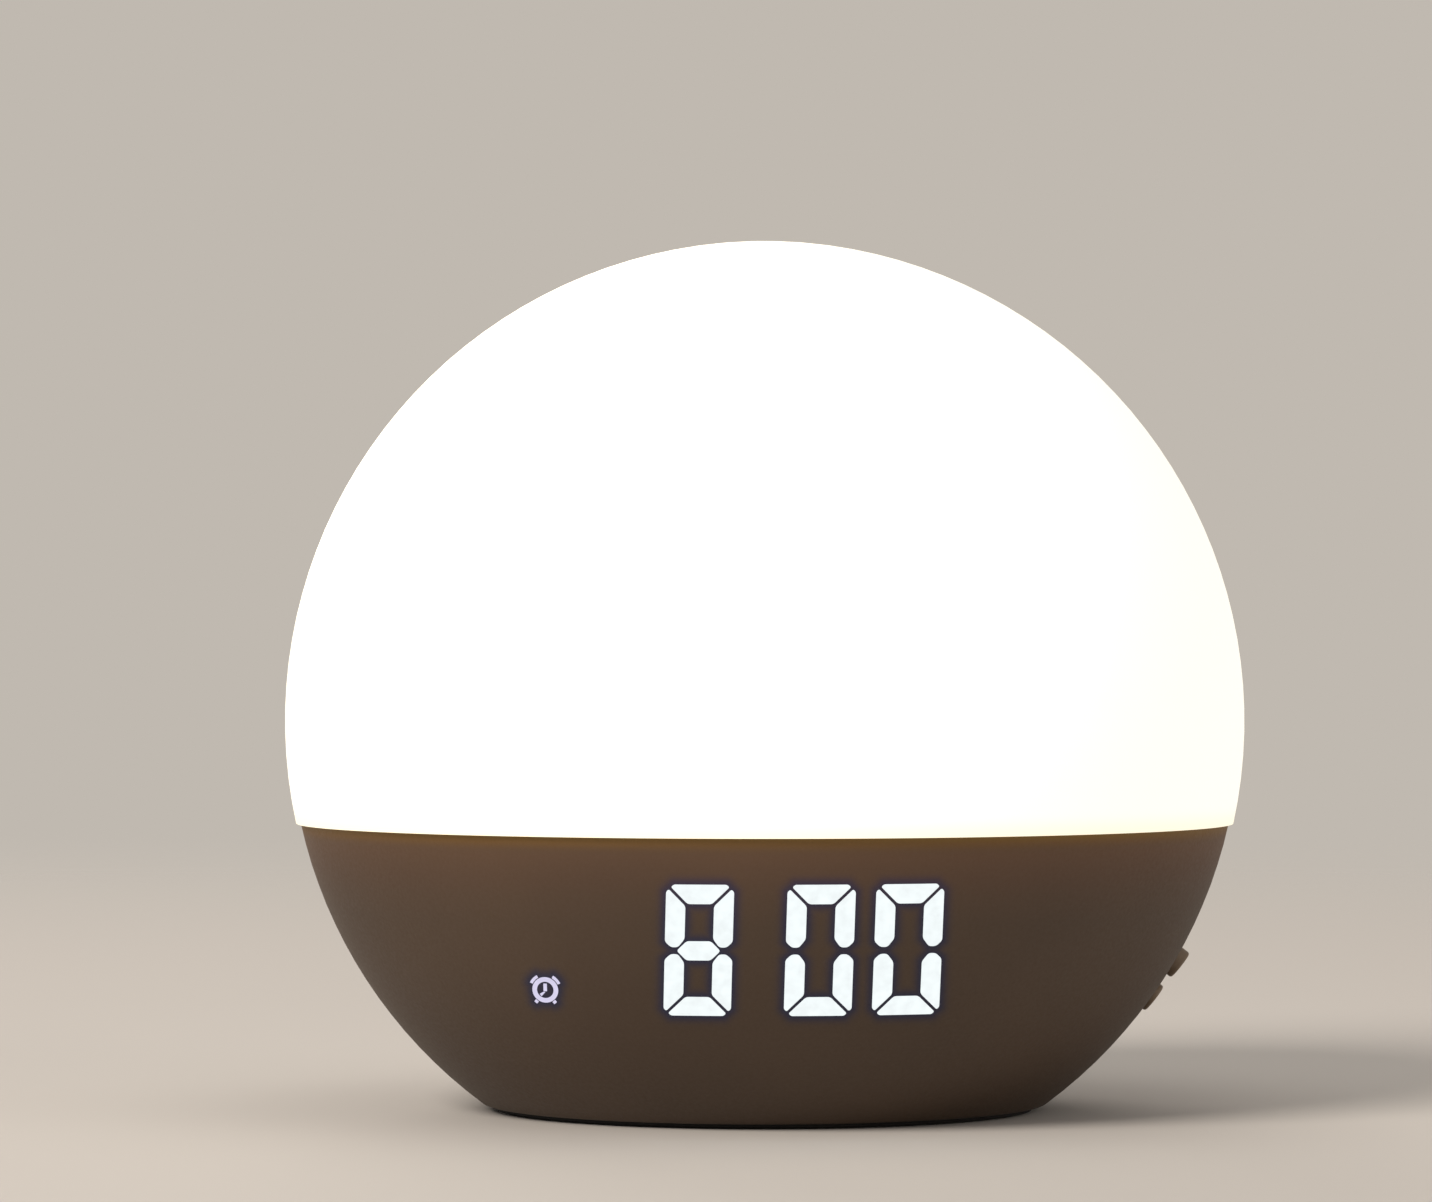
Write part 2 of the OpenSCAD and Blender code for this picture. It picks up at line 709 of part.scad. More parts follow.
module base_shell() {
    color("#6b5a4b") difference() {
        union() {
            rotate_extrude() base_profile();
            intersection() {
                ball(base_r - base_wall / 2);
                base_fittings();
            }
        }
        // Pocket that thins the wall in front of the display
        intersection() {
            ball(window_r);
            forward(-block_back + lap, base_r) translate([0, (block_top + block_bottom) / 2])
                square([2 * block_half_w, block_top - block_bottom] + 2 * block_gap * [1, 1],
                    center = true);
        }
        at_angles(tray_screw_angles, tray_screw_r)
            translate([0, 0, tray_z - screw_l]) cylinder(r = pilot_r, h = screw_l + past);
        at_angles(main_screw_angles, main_screw_r)
            translate([0, 0, main_board_z - screw_l]) cylinder(r = pilot_r, h = screw_l + past);
        at_angles(diagonals, cover_screw_r)
            translate([0, 0, floor_z]) cylinder(r = pilot_r, h = screw_l + past);
        for (side = [-1, 1]) translate([side * display_screw_x, 0, display_screw_z])
            rotate([90, 0, 0]) translate([0, 0, block_back - past])
                cylinder(r = pilot_r, h = display_screw_l - board_t + 2 * past);
        on_side() {
            button_holes(side_row, false, side_button_d + 2 * button_gap, side_guide_l);
            post_holes(side_posts, side_guide_l);
        }
        on_back() {
            button_holes(back_row, true, back_button_d + 2 * button_gap, back_guide_l);
            post_holes(back_posts, back_guide_l);
        }
        forward(base_r + past, base_r + past - inlet_face)
            translate([0, inlet_z]) slot_shape(plug_w, plug_h);
        forward(base_r, base_r - inlet_face + inlet_web + past)
            translate([0, inlet_z]) slot_shape(inlet_w + 2 * rim_gap, inlet_h + 2 * rim_gap);
    }
}

module base_fittings() {
    // Shelves and bosses under the light tray
    for (a = tray_screw_angles) rotate([0, 0, a]) {
        ring_part(shelf_r, tray_r + base_wall, tray_z - shelf_t, shelf_t, shelf_turn);
        translate([tray_screw_r, 0, tray_z - tray_boss_h]) {
            cylinder(r = boss_r, h = tray_boss_h);
            translate([0, -rib_t / 2, 0]) cube([2 * boss_r, rib_t, tray_boss_h]);
        }
    }
    // Standoffs of the main board
    at_angles(main_screw_angles, main_screw_r)
        translate([0, 0, ledge_top - lap]) cylinder(r = boss_r, h = main_board_z - ledge_top + lap);
    // Bosses of the bottom cover
    at_angles(diagonals, cover_screw_r)
        translate([0, 0, cover_top]) cylinder(r = boss_r, h = screw_l + boss_wall);
    // Ribs between the floor and the wall
    for (a = [10, 50, 75, 105, 130, 170, 190, 350]) rotate([0, 0, a])
        translate([cover_r, -rib_t / 2, ledge_top - lap]) cube([base_r, rib_t, rib_h + lap]);
    // Bosses of the display board
    for (side = [-1, 1]) translate([side * display_screw_x, 0, display_screw_z])
        rotate([90, 0, 0]) translate([0, 0, block_back]) cylinder(r = boss_r, h = base_r - block_back);
    // Guides and posts of the buttons
    on_side() {
        button_guides(side_row, false, side_button_d + 2 * (button_gap + guide_wall), side_guide_l);
        board_posts(side_posts, side_guide_l);
    }
    on_back() {
        button_guides(back_row, true, back_button_d + 2 * (button_gap + guide_wall), back_guide_l);
        board_posts(back_posts, back_guide_l);
    }
    // Wall behind the recess for the plug
    forward(base_r, base_r - inlet_face + inlet_web)
        translate([0, inlet_z]) square([plug_w + 2 * boss_wall, plug_h + 2 * boss_wall], center = true);
}

module bottom_cover() {
    color("#5c4d41") {
        difference() {
            union() {
                translate([0, 0, floor_z]) cylinder(r = cover_r, h = cover_t);
                translate([0, -speaker_y, 0])
                    ring(collar_ir, collar_ir + collar_t, cover_top - lap,
                        snap_z + snap_t - cover_top + lap);
                translate([0, cell_y, 0]) {
                    ring(bay_ir, bay_ir + bay_wall, cover_top - lap, bay_top - cover_top + 2 * lap);
                    translate([0, 0, bay_top]) cylinder(r = bay_ir + bay_wall, h = bay_wall);
                }
            }
            translate([0, cell_y, floor_z - past]) cylinder(r = door_hole_r, h = cover_t + 2 * past);
            translate([0, cell_y, 0]) for (a = [door_turn, door_turn + 180]) rotate([0, 0, a])
                ring_part(door_hole_r - lap, bay_ir, floor_z - past, cover_t + 2 * past,
                    lug_turn + 2 * lug_gap);
            // Slits for the legs of the contacts
            for (x = contact_xs) translate([x, cell_y, bay_top + bay_wall / 2])
                cube([leaf_t + 2 * screw_gap, leaf_w + 2 * screw_gap, 3 * bay_wall], center = true);
            at_angles(diagonals, cover_screw_r) translate([0, 0, floor_z]) {
                cylinder(r = pilot_r, h = cover_t + past);
                cylinder(d1 = head_d + 2 * screw_gap, d2 = screw_d, h = (head_d - screw_d) / 2 + screw_gap);
            }
            translate([0, -speaker_y, floor_z - past]) sound_holes();
        }
        // Snap fingers over the loudspeaker's flange
        translate([0, -speaker_y, 0]) for (a = [30, 150, 270]) rotate([0, 0, a])
            ring_part(collar_ir - snap_reach, collar_ir + lap, snap_z, snap_t, snap_turn);
    }
}

module sound_holes() {
    for (n = [0:3], i = [0:max(0, 6 * n - 1)])
        rotate([0, 0, n == 0 ? 0 : i * 60 / n]) translate([n * sound_ring, 0, 0])
            cylinder(d = sound_hole_d, h = cover_t + 2 * past);
}

module cover_screws() {
    color("silver") at_angles(diagonals, cover_screw_r) translate([0, 0, floor_z]) flush_screw();
}

module foot_ring() {
    chamfer = foot_w / 8;
    color("#221f1d") rotate_extrude() polygon([
        [foot_ir, foot_proud + foot_groove], [foot_ir, chamfer], [foot_ir + chamfer, 0],
        [foot_or - chamfer, 0], [foot_or, chamfer], [foot_or, foot_proud + foot_groove]]);
}

// ---- Display ----

// Outlines of the seven segments round the middle of a digit
function segment_shapes() = let (w = digit_w / 2, h = digit_h / 2, s = stroke, k = segment_gap / sqrt(2),
        top = [[-w + k, h], [w - k, h], [w - s - k, h - s], [-w + s + k, h - s]],
        right = [[w, h - k], [w, k], [w - s / 2, k], [w - s, s / 2 + k], [w - s, h - s - k]],
        middle = [[-w + s / 2 + k, 0], [-w + s + k, s / 2], [w - s - k, s / 2],
            [w - s / 2 - k, 0], [w - s - k, -s / 2], [-w + s + k, -s / 2]])
    concat([middle], [for (f = [-1, 1]) flipped(top, 1, f)],
        [for (fx = [-1, 1], fy = [-1, 1]) flipped(right, fx, fy)]);

function flipped(points, fx, fy) = [for (p = points) [p[0] * fx, p[1] * fy]];

function leaning(points) = [for (p = points) [p[0] + p[1] * tan(digit_lean), p[1]]];

module light_boxes() {
    translate([0, display_z]) {
        for (x = digit_xs, shape = segment_shapes()) translate([x, 0]) polygon(leaning(shape));
        for (dot = colon_dots) translate(dot) circle(d = dot_d);
    }
    translate([-icon_x, icon_z]) circle(d = icon_d);
}

module block_outline() {
    translate([-block_half_w, block_bottom]) square([2 * block_half_w, block_top - block_bottom]);
}

module display_block() {
    color("white") difference() {
        intersection() {
            ball(block_r);
            forward(-block_back, base_r) block_outline();
        }
        forward(-block_back + past, base_r) light_boxes();
    }
}

module display_film() {
    color("gainsboro") intersection() {
        difference() {
            ball(film_r + film_t);
            ball(film_r);
        }
        forward(-block_back, base_r) block_outline();
    }
}

module display_board() {
    color("darkgreen") difference() {
        intersection() {
            ball(base_in_r - lap);
            forward(-block_back + board_t, board_t) translate([-display_board_half, block_bottom])
                square([2 * display_board_half, block_top - block_bottom]);
        }
        for (side = [-1, 1]) translate([side * display_screw_x, 0, display_screw_z])
            rotate([90, 0, 0]) translate([0, 0, block_back - board_t - past])
                cylinder(r = pilot_r, h = board_t + 2 * past);
    }
}

module display_leds() {
    color("khaki") {
        for (x = digit_xs, shape = segment_shapes()) {
            middle = leaning([(max_of(shape) + min_of(shape)) / 2])[0];
            display_led(x + middle[0], display_z + middle[1]);
        }
        for (dot = colon_dots) display_led(dot[0], display_z + dot[1]);
        display_led(-icon_x, icon_z);
    }
}

function max_of(points) = [max([for (p = points) p[0]]), max([for (p = points) p[1]])];
function min_of(points) = [min([for (p = points) p[0]]), min([for (p = points) p[1]])];

module display_led(x, z) {
    translate([x, -block_back - display_led_h / 2, z])
        cube([display_led_w, display_led_h, display_led_w], center = true);
}

module display_screws() {
    color("silver") for (side = [-1, 1])
        translate([side * display_screw_x, -block_back + board_t, display_screw_z])
            rotate([-90, 0, 0]) pan_screw(screw_d, display_screw_l, head_d, head_h);
}

// ---- Main board ----

module main_board() {
    color("darkgreen") translate([0, 0, main_board_z]) difference() {
        union() {
            intersection() {
                cylinder(r = main_board_r, h = board_t);
                translate([-main_board_r, -main_board_front, 0])
                    cube([2 * main_board_r, 2 * main_board_r, board_t]);
            }
            translate([-inlet_tongue_w / 2, 0, 0])
                cube([inlet_tongue_w, inlet_face - inlet_web - air, board_t]);
        }
        at_angles(main_screw_angles, main_screw_r)
            translate([0, 0, -past]) cylinder(r = pilot_r, h = board_t + 2 * past);
    }
}

module main_board_screws() {
    color("silver") at_angles(main_screw_angles, main_screw_r)
        translate([0, 0, main_board_top]) pan_screw(screw_d, screw_l - 1, head_d, head_h);
}

module board_blocks(blocks) {
    for (b = blocks) translate([b[0] - b[2] / 2, b[1] - b[3] / 2, main_board_top]) cube([b[2], b[3], b[4]]);
}

module board_chips() {
    color("#222222") board_blocks(chips);
}

module board_capacitors() {
    color("#30343c") for (c = capacitors)
        translate([c[0], c[1], main_board_top]) cylinder(d = c[2], h = c[3]);
}

module board_connectors() {
    color("beige") board_blocks(connectors);
}

module power_inlet() {
    color("silver") {
        difference() {
            inlet_block(inlet_face, inlet_l, inlet_w, inlet_h);
            inlet_block(inlet_face + past, inlet_l + past - inlet_back_t,
                inlet_w - 2 * inlet_wall, inlet_h - 2 * inlet_wall);
        }
        inlet_block(inlet_face - inlet_tip_in, inlet_l - inlet_tip_in, inlet_tip_w, inlet_tip_h);
    }
}

module inlet_block(front, l, w, h) {
    translate([0, 0, inlet_z]) forward(front, l) slot_shape(w, h);
}

// ---- Loudspeaker ----

module at_speaker() {
    translate([0, -speaker_y, 0]) children();
}

module speaker_gasket() {
    color("#333333") at_speaker() ring(cone_r, speaker_d / 2, cover_top, gasket_t);
}

module speaker_frame() {
    color("dimgray") at_speaker() {
        difference() {
            rotate_extrude() polygon([
                [cone_r, flange_z], [speaker_d / 2, flange_z], [speaker_d / 2, basket_z],
                [cone_r + basket_wall, basket_z], [magnet_d / 2 + basket_wall, magnet_z],
                [pole_r + rim_gap, magnet_z], [pole_r + rim_gap, magnet_z - basket_wall],
                [magnet_d / 2, magnet_z - basket_wall], [cone_r, basket_z]]);
            // Windows in the side of the basket
            for (a = diagonals) rotate([0, 0, a])
                translate([magnet_d / 2, -cone_r / 3, basket_z + basket_h / 4])
                    cube([cone_r, cone_r * 2 / 3, basket_h / 2]);
        }
        translate([-terminal_l / 2, terminal_r - terminal_w / 2, basket_z - lap])
            cube([terminal_l, terminal_w, terminal_h + lap]);
    }
}

module speaker_magnet() {
    plate_t = magnet_h / 4;
    color("#4a4a4a") at_speaker() translate([0, 0, magnet_z]) {
        cylinder(d = magnet_d, h = magnet_h - plate_t);
        translate([0, 0, magnet_h - plate_t]) cylinder(d = magnet_d - 2, h = plate_t);
        translate([0, 0, -basket_h / 2]) cylinder(r = pole_r, h = basket_h / 2 + lap);
    }
}

// The paper cone with its roll at the rim, its voice coil round the pole, and the dust cap over it
module speaker_cone() {
    rest_z = flange_z + rim_gap;
    neck_z = basket_z + basket_h / 4;
    roll = paper_t * 2;
    color("#2b2b2b") at_speaker() rotate_extrude() {
        polygon([
            [coil_r, neck_z + basket_h / 3], [coil_r - paper_t, neck_z + basket_h / 3],
            [coil_r - paper_t, neck_z],
            [cone_r - 3 * roll, rest_z], [cone_r - rim_gap, rest_z], [cone_r - rim_gap, rest_z + paper_t],
            [cone_r - 3 * roll, rest_z + paper_t], [coil_r, neck_z + paper_t]]);
        translate([0, neck_z - paper_t]) square([coil_r, paper_t]);
    }
}

// ---- Coin cell ----

module at_cell() {
    translate([0, cell_y, 0]) children();
}

module battery_door() {
    color("#54463b") at_cell() difference() {
        union() {
            translate([0, 0, floor_z]) cylinder(r = door_ring_or, h = cover_t);
            ring(door_ring_ir, door_ring_or, cover_top - lap, lug_z + lug_t - cover_top + lap);
            for (a = [0, 180]) rotate([0, 0, a])
                ring_part(door_ring_or - lap, door_ring_or + lug_l, lug_z, lug_t, lug_turn);
        }
        translate([0, 0, floor_z]) cube([coin_slot_l, coin_slot_w, 2 * coin_slot_depth], center = true);
    }
}

module coin_cell() {
    step = 0.4;
    color("silver") at_cell() translate([0, 0, cell_z]) {
        cylinder(d = cell_d, h = cell_h - step);
        cylinder(d = cell_d - 6 * step, h = cell_h);
    }
}

module battery_contacts() {
    leg_top = bay_top + bay_wall + past;
    color("gold") at_cell() translate([0, -leaf_w / 2, 0]) {
        // Leaf on top of the cell, hanging from its leg
        translate([contact_xs[0] - leaf_t / 2, 0, cell_z + cell_h]) {
            cube([leaf_l, leaf_w, leaf_t]);
            cube([leaf_t, leaf_w, leg_top - cell_z - cell_h]);
        }
        // Contact beside the rim of the cell
        translate([contact_xs[1] - leaf_t / 2, 0, lug_z + lug_t + air])
            cube([leaf_t, leaf_w, leg_top - lug_z - lug_t - air]);
    }
}

// ---- Buttons and switches ----

module button(x, y, cap_d, top_z, guide_l) {
    cap_r = cap_d / 2;
    collar_z = -guide_l - rim_gap;
    translate([x, y, 0]) rotate_extrude() polygon(concat(
        [[0, collar_z - button_collar_t], [cap_r + button_collar, collar_z - button_collar_t],
            [cap_r + button_collar, collar_z], [cap_r, collar_z]],
        arc([cap_r - button_edge, top_z - button_edge], button_edge, 0, 90),
        [[0, top_z]]));
}

// Top of the plunger of a switch behind a guide
function plunger_top(guide_l) = -guide_l - rim_gap - button_collar_t;

module plunger(x, y, guide_l) {
    reach = plunger_out + button_travel + plunger_hold;
    translate([x, y, plunger_top(guide_l) - reach]) cylinder(d = plunger_d, h = reach);
}

module tact_switch(x, y, guide_l) {
    top_z = plunger_top(guide_l) - plunger_out;
    bore_depth = 2 * button_travel + plunger_hold + rim_gap;
    translate([x, y, top_z - switch_h]) difference() {
        translate([-switch_w / 2, -switch_w / 2, 0]) cube([switch_w, switch_w, switch_h]);
        translate([0, 0, switch_h - bore_depth])
            cylinder(d = plunger_d + 2 * button_gap, h = bore_depth + past);
    }
}

module switch_board(half_l, half_w, guide_l, posts) {
    top_z = -guide_l - board_depth();
    difference() {
        translate([-half_l, -half_w, top_z - switch_board_t])
            cube([2 * half_l, 2 * half_w, switch_board_t]);
        for (p = posts) translate([p[0], p[1], top_z - switch_board_t - past])
            cylinder(r = small_pilot_r, h = switch_board_t + 2 * past);
    }
}

module board_screws(guide_l, posts) {
    for (p = posts) translate([p[0], p[1], -guide_l - board_depth() - switch_board_t])
        rotate([180, 0, 0]) pan_screw(small_screw_d, small_screw_l, small_head_d, small_head_h);
}

module side_button(n) {
    color("#7a6857") on_side() button(side_row[n], 0, side_button_d, side_proud, side_guide_l);
}

module side_plunger(n) {
    color("black") on_side() plunger(side_row[n], 0, side_guide_l);
}

module back_button(n) {
    top_z = skin_z(0, back_row[n], back_tilt - skin_angle(back_drop)) + back_proud;
    color("#7a6857") on_back() button(0, back_row[n], back_button_d, top_z, back_guide_l);
}

module back_plunger(n) {
    color("black") on_back() plunger(0, back_row[n], back_guide_l);
}

module side_switches() {
    color("#3a3a3a") on_side() for (x = side_row) tact_switch(x, 0, side_guide_l);
}

module back_switches() {
    color("#3a3a3a") on_back() for (y = back_row) tact_switch(0, y, back_guide_l);
}

module side_switch_board() {
    color("darkgreen") on_side()
        switch_board(side_row[1] + switch_w / 2 + switch_margin, side_post_y + post_r,
            side_guide_l, side_posts);
}

module back_switch_board() {
    color("darkgreen") on_back()
        switch_board(switch_w / 2 + switch_margin, back_post_y + post_r, back_guide_l, back_posts);
}

module switch_board_screws() {
    color("silver") {
        on_side() board_screws(side_guide_l, side_posts);
        on_back() board_screws(back_guide_l, back_posts);
    }
}

// ---- Leads ----

// Two wires side by side between two heights
module wire_pair(x, y, from_z, to_z) {
    for (side = [-1, 1]) translate([x + side * (wire_d + rim_gap) / 2, y, from_z])
        cylinder(d = wire_d, h = to_z - from_z);
}

// A flat ribbon: level from one end towards the other, then down through a quarter bend.
// The two ends are given as distance along y, and height.
module ribbon(w, from, to, bend_r) {
    dir = sign(to[0] - from[0]);
    centre = [to[0] - dir * bend_r, from[1] - bend_r];
    down = dir > 0 ? 0 : 180;
    half = ribbon_t / 2;
    rotate([90, 0, 90]) translate([0, 0, -w / 2]) linear_extrude(w) polygon(concat(
        [[from[0], from[1] - half], [from[0], from[1] + half]],
        arc(centre, bend_r + half, 90, down),
        [[to[0] + dir * half, to[1]], [to[0] - dir * half, to[1]]],
        arc(centre, bend_r - half, down, 90)));
}

module led_lead() {
    color("firebrick") wire_pair(lead_x, lead_y, connector_top, led_board_z);
}

module display_ribbon() {
    from = [-block_back + board_t, connector_top + ribbon_rise + wide_bend];
    color("lightgray") ribbon(display_ribbon_w, from, [ribbon_y, connector_top], wide_bend);
}

module speaker_lead() {
    color("firebrick") wire_pair(0, terminal_r - speaker_y, basket_z + terminal_h, main_board_z);
}

// A point in the upright plane through the middle of a bank of buttons: distance from the axis, and height
function flank_point(drop, tilt, x, z) = [
    base_r * cos(skin_angle(drop)) + z * cos(tilt) - x * sin(tilt),
    seam_z - drop - z * sin(tilt) - x * cos(tilt)];

// Distance from the skin in to the back of a switch board
function board_back(guide_l) = guide_l + board_depth() + switch_board_t + rim_gap;

module side_switch_lead() {
    from = flank_point(side_drop, side_tilt, -side_pitch / 2, -board_back(side_guide_l));
    color("firebrick") rotate([0, 0, -90])
        ribbon(side_ribbon_w, from, [side_lead_x, connector_top], tight_bend);
}

module back_switch_lead() {
    from = flank_point(back_drop, back_tilt, 0, -board_back(back_guide_l));
    color("firebrick") ribbon(back_ribbon_w, from, [back_lead_y, connector_top], wide_bend);
}

dome_diffuser();
light_tray();
tray_screws();
led_board();
led_chips();
led_board_screws();
base_shell();
bottom_cover();
cover_screws();
foot_ring();
display_block();
display_film();
display_board();
display_leds();
display_screws();
main_board();
board_chips();
board_capacitors();
board_connectors();
main_board_screws();
power_inlet();
speaker_gasket();
speaker_frame();
speaker_magnet();
speaker_cone();
battery_door();
coin_cell();
battery_contacts();
side_switch_board();
side_switches();
back_switch_board();
back_switches();
switch_board_screws();
side_button(0);  // button_up
side_plunger(0);  // up_plunger
side_button(1);  // button_down
side_plunger(1);  // down_plunger
back_button(0);  // button_light
back_plunger(0);  // light_plunger
back_button(1);  // button_clock
back_plunger(1);  // clock_plunger
back_button(2);  // button_alarm
back_plunger(2);  // alarm_plunger
back_button(3);  // button_sound
back_plunger(3);  // sound_plunger
led_lead();
display_ribbon();
speaker_lead();
side_switch_lead();
back_switch_lead();
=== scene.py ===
import math

import bmesh
import bpy
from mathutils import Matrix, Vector


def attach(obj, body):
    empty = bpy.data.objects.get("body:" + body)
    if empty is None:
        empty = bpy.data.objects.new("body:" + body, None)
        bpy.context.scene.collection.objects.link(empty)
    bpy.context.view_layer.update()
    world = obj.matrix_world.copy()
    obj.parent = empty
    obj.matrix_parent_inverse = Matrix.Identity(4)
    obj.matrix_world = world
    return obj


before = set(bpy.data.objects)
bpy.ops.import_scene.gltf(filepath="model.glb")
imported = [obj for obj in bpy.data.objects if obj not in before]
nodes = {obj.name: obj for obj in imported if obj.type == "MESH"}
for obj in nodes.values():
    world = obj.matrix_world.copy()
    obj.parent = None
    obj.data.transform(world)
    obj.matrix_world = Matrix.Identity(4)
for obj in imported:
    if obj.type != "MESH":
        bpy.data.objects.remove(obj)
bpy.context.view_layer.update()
mm = 0.001
print("frame loaded:", len(nodes), "pieces")

# where the globe is, in metres
globe = {
    "middle": 0.0608171,   # height of the centre of the ball
    "seam": 0.0448171,     # height where the dome meets the base
    "baseRadius": 0.0743,  # outer skin of the base
}

# camera level with the seam, a little to the right, on a long lens
view = {
    "place": (0.012558, -1.04995, 0.0795),
    "turn": (90, 0, 1.1),
    "lens": 168.4,
    "sensor": 36,
    "near": 0.01,  # metres from the lens where the picture starts
}


def makeCamera():
    camera = bpy.data.objects.new("camera", bpy.data.cameras.new("camera"))
    bpy.context.scene.collection.objects.link(camera)
    camera.location = view["place"]
    camera.rotation_euler = [math.radians(angle) for angle in view["turn"]]
    camera.data.lens = view["lens"]
    camera.data.sensor_width = view["sensor"]
    camera.data.clip_start = view["near"]
    bpy.context.scene.camera = camera


makeCamera()
print("camera set")


def linear(hexColour):
    parts = [int(hexColour[i:i + 2], 16) / 255 for i in (1, 3, 5)]
    return [c / 12.92 if c <= 0.04045 else ((c + 0.055) / 1.055) ** 2.4 for c in parts] + [1.0]


# adds one node; a lower-case name sets a property, any other name or number sets an input
def addNode(tree, kind, settings=None, links=None):
    node = tree.nodes.new("ShaderNode" + kind)
    for name, value in (settings or {}).items():
        if isinstance(name, str) and name[0].islower():
            setattr(node, name, value)
        else:
            node.inputs[name].default_value = value
    for name, socket in (links or {}).items():
        tree.links.new(socket, node.inputs[name])
    return node


# a material with its shader's plain values; returns the material, its node tree and the shader
def startMaterial(name, values):
    material = bpy.data.materials.new(name)
    material.use_nodes = True
    tree = material.node_tree
    shader = tree.nodes["Principled BSDF"]
    for socket, value in values.items():
        shader.inputs[socket].default_value = value
    return material, tree, shader


# where a pattern is read: in the piece's own coordinates
def objectPlace(tree):
    return addNode(tree, "TexCoord").outputs["Object"]


# one coordinate of the place, or of any other vector
def partOf(tree, vector, axis):
    return addNode(tree, "SeparateXYZ", links={"Vector": vector}).outputs[axis]


# noise with grains of the given size in mm
def addNoise(tree, place, size, settings):
    noise = addNode(tree, "TexNoise", {"Scale": 1 / (size * mm), **settings}, {"Vector": place})
    return noise.outputs["Fac"]


# stretches a pattern between two of its values to the full run from 0 to 1
def stretch(tree, pattern, low, high):
    run = addNode(tree, "MapRange", {"From Min": low, "From Max": high}, {"Value": pattern})
    return run.outputs["Result"]


# colours a socket of the shader from a pattern, by a ramp of stops, each a place and a hex colour
def addTone(tree, shader, pattern, stops, socket="Base Color"):
    node = addNode(tree, "ValToRGB", links={"Fac": pattern})
    ramp = node.color_ramp
    while len(ramp.elements) < len(stops):
        ramp.elements.new(1.0)
    for element, (place, colour) in zip(ramp.elements, stops):
        element.position = place
        element.color = linear(colour)
    tree.links.new(node.outputs["Color"], shader.inputs[socket])
    return node.outputs["Color"]


# a bump of the given height in mm from any pattern
def addBump(tree, shader, pattern, height, strength=1.0):
    bump = addNode(tree, "Bump", {"Strength": strength, "Distance": height * mm}, {"Height": pattern})
    tree.links.new(bump.outputs["Normal"], shader.inputs["Normal"])


# sizes in mm and spreads of roughness that all moulded and all plated surfaces share
finish = {
    "driftSize": 35,        # patches of a plastic's tone
    "glossSpread": 0.06,    # how much a plastic's roughness varies up and down over its grain
    "polished": 0.08,       # how much less rough a metal gets between its scratches
    "scuffed": 0.1,         # and how much rougher in them
    "scratchHeight": 0.004,
    "waveLength": 314.0,    # mm after which a wave texture with a scale of 1 repeats
}


# moulded plastic: a fine spark-eroded grain from the mould, a soft gloss and a faint drift in its tone
def mouldedPlastic(name, dark, light, roughness, grain, grainHeight=0.012):
    material, tree, shader = startMaterial(name, {"IOR": 1.5, "Roughness": roughness})
    place = objectPlace(tree)
    drift = addNoise(tree, place, finish["driftSize"], {"Detail": 2.0})
    addTone(tree, shader, drift, [(0.3, dark), (0.7, light)])
    sand = addNoise(tree, place, grain, {"Detail": 3.0, "Roughness": 0.6})
    gloss = addNode(tree, "MapRange", {"From Min": 0.3, "From Max": 0.7,
                                       "To Min": roughness - finish["glossSpread"],
                                       "To Max": roughness + finish["glossSpread"]}, {"Value": sand})
    tree.links.new(gloss.outputs["Result"], shader.inputs["Roughness"])
    addBump(tree, shader, sand, grainHeight)
    return material


# plated or bare metal: a mottled plating, with fine scratches drawn coarser than real so that they show
def platedMetal(name, dark, light, roughness, mottle, scratch=0.25):
    material, tree, shader = startMaterial(name, {"Metallic": 1.0, "Roughness": roughness})
    place = objectPlace(tree)
    patches = addNoise(tree, place, mottle, {"Detail": 4.0})
    addTone(tree, shader, patches, [(0.35, dark), (0.65, light)])
    lines = addNoise(tree, place, scratch, {"Detail": 2.0, "Distortion": 2.0})
    gloss = addNode(tree, "MapRange", {"To Min": roughness - finish["polished"],
                                       "To Max": roughness + finish["scuffed"]}, {"Value": lines})
    tree.links.new(gloss.outputs["Result"], shader.inputs["Roughness"])
    addBump(tree, shader, lines, finish["scratchHeight"])
    return material


# scale of a wave texture whose lines are the given distance in mm apart
def waveScale(spacing):
    return finish["waveLength"] * mm / (spacing * mm)


def dress(material, *names):
    for name in names:
        nodes[name].data.materials[0] = material


# floor, air and lamps, in metres and watts
studio = {
    "floor": "#cdcac8",
    "floorRadius": 3.0,
    "fibre": 1.2,            # mm between the fibres of the paper
    "fadeFrom": 0.35,        # the floor melts into the background between these radii
    "fadeTo": 1.3,
    "air": "#c0b9b0",        # what the camera sees behind the part
    "airLight": "#fff8f0",   # what the air lights the part with
    "worldLight": 0.38,
    "lampColour": "#fff4e6",
    "aim": (0, 0, 0.05),     # where the lamps point
    "keyPower": 115.0, "keyPlace": (-1.9, -2.4, 2.3), "keySize": 1.7,
    "fillPower": 12.0, "fillPlace": (2.7, -1.5, 1.2), "fillSize": 2.0,
    "backPower": 26.0, "backPlace": (-0.9, 2.9, 1.3), "backSize": 2.0,
}


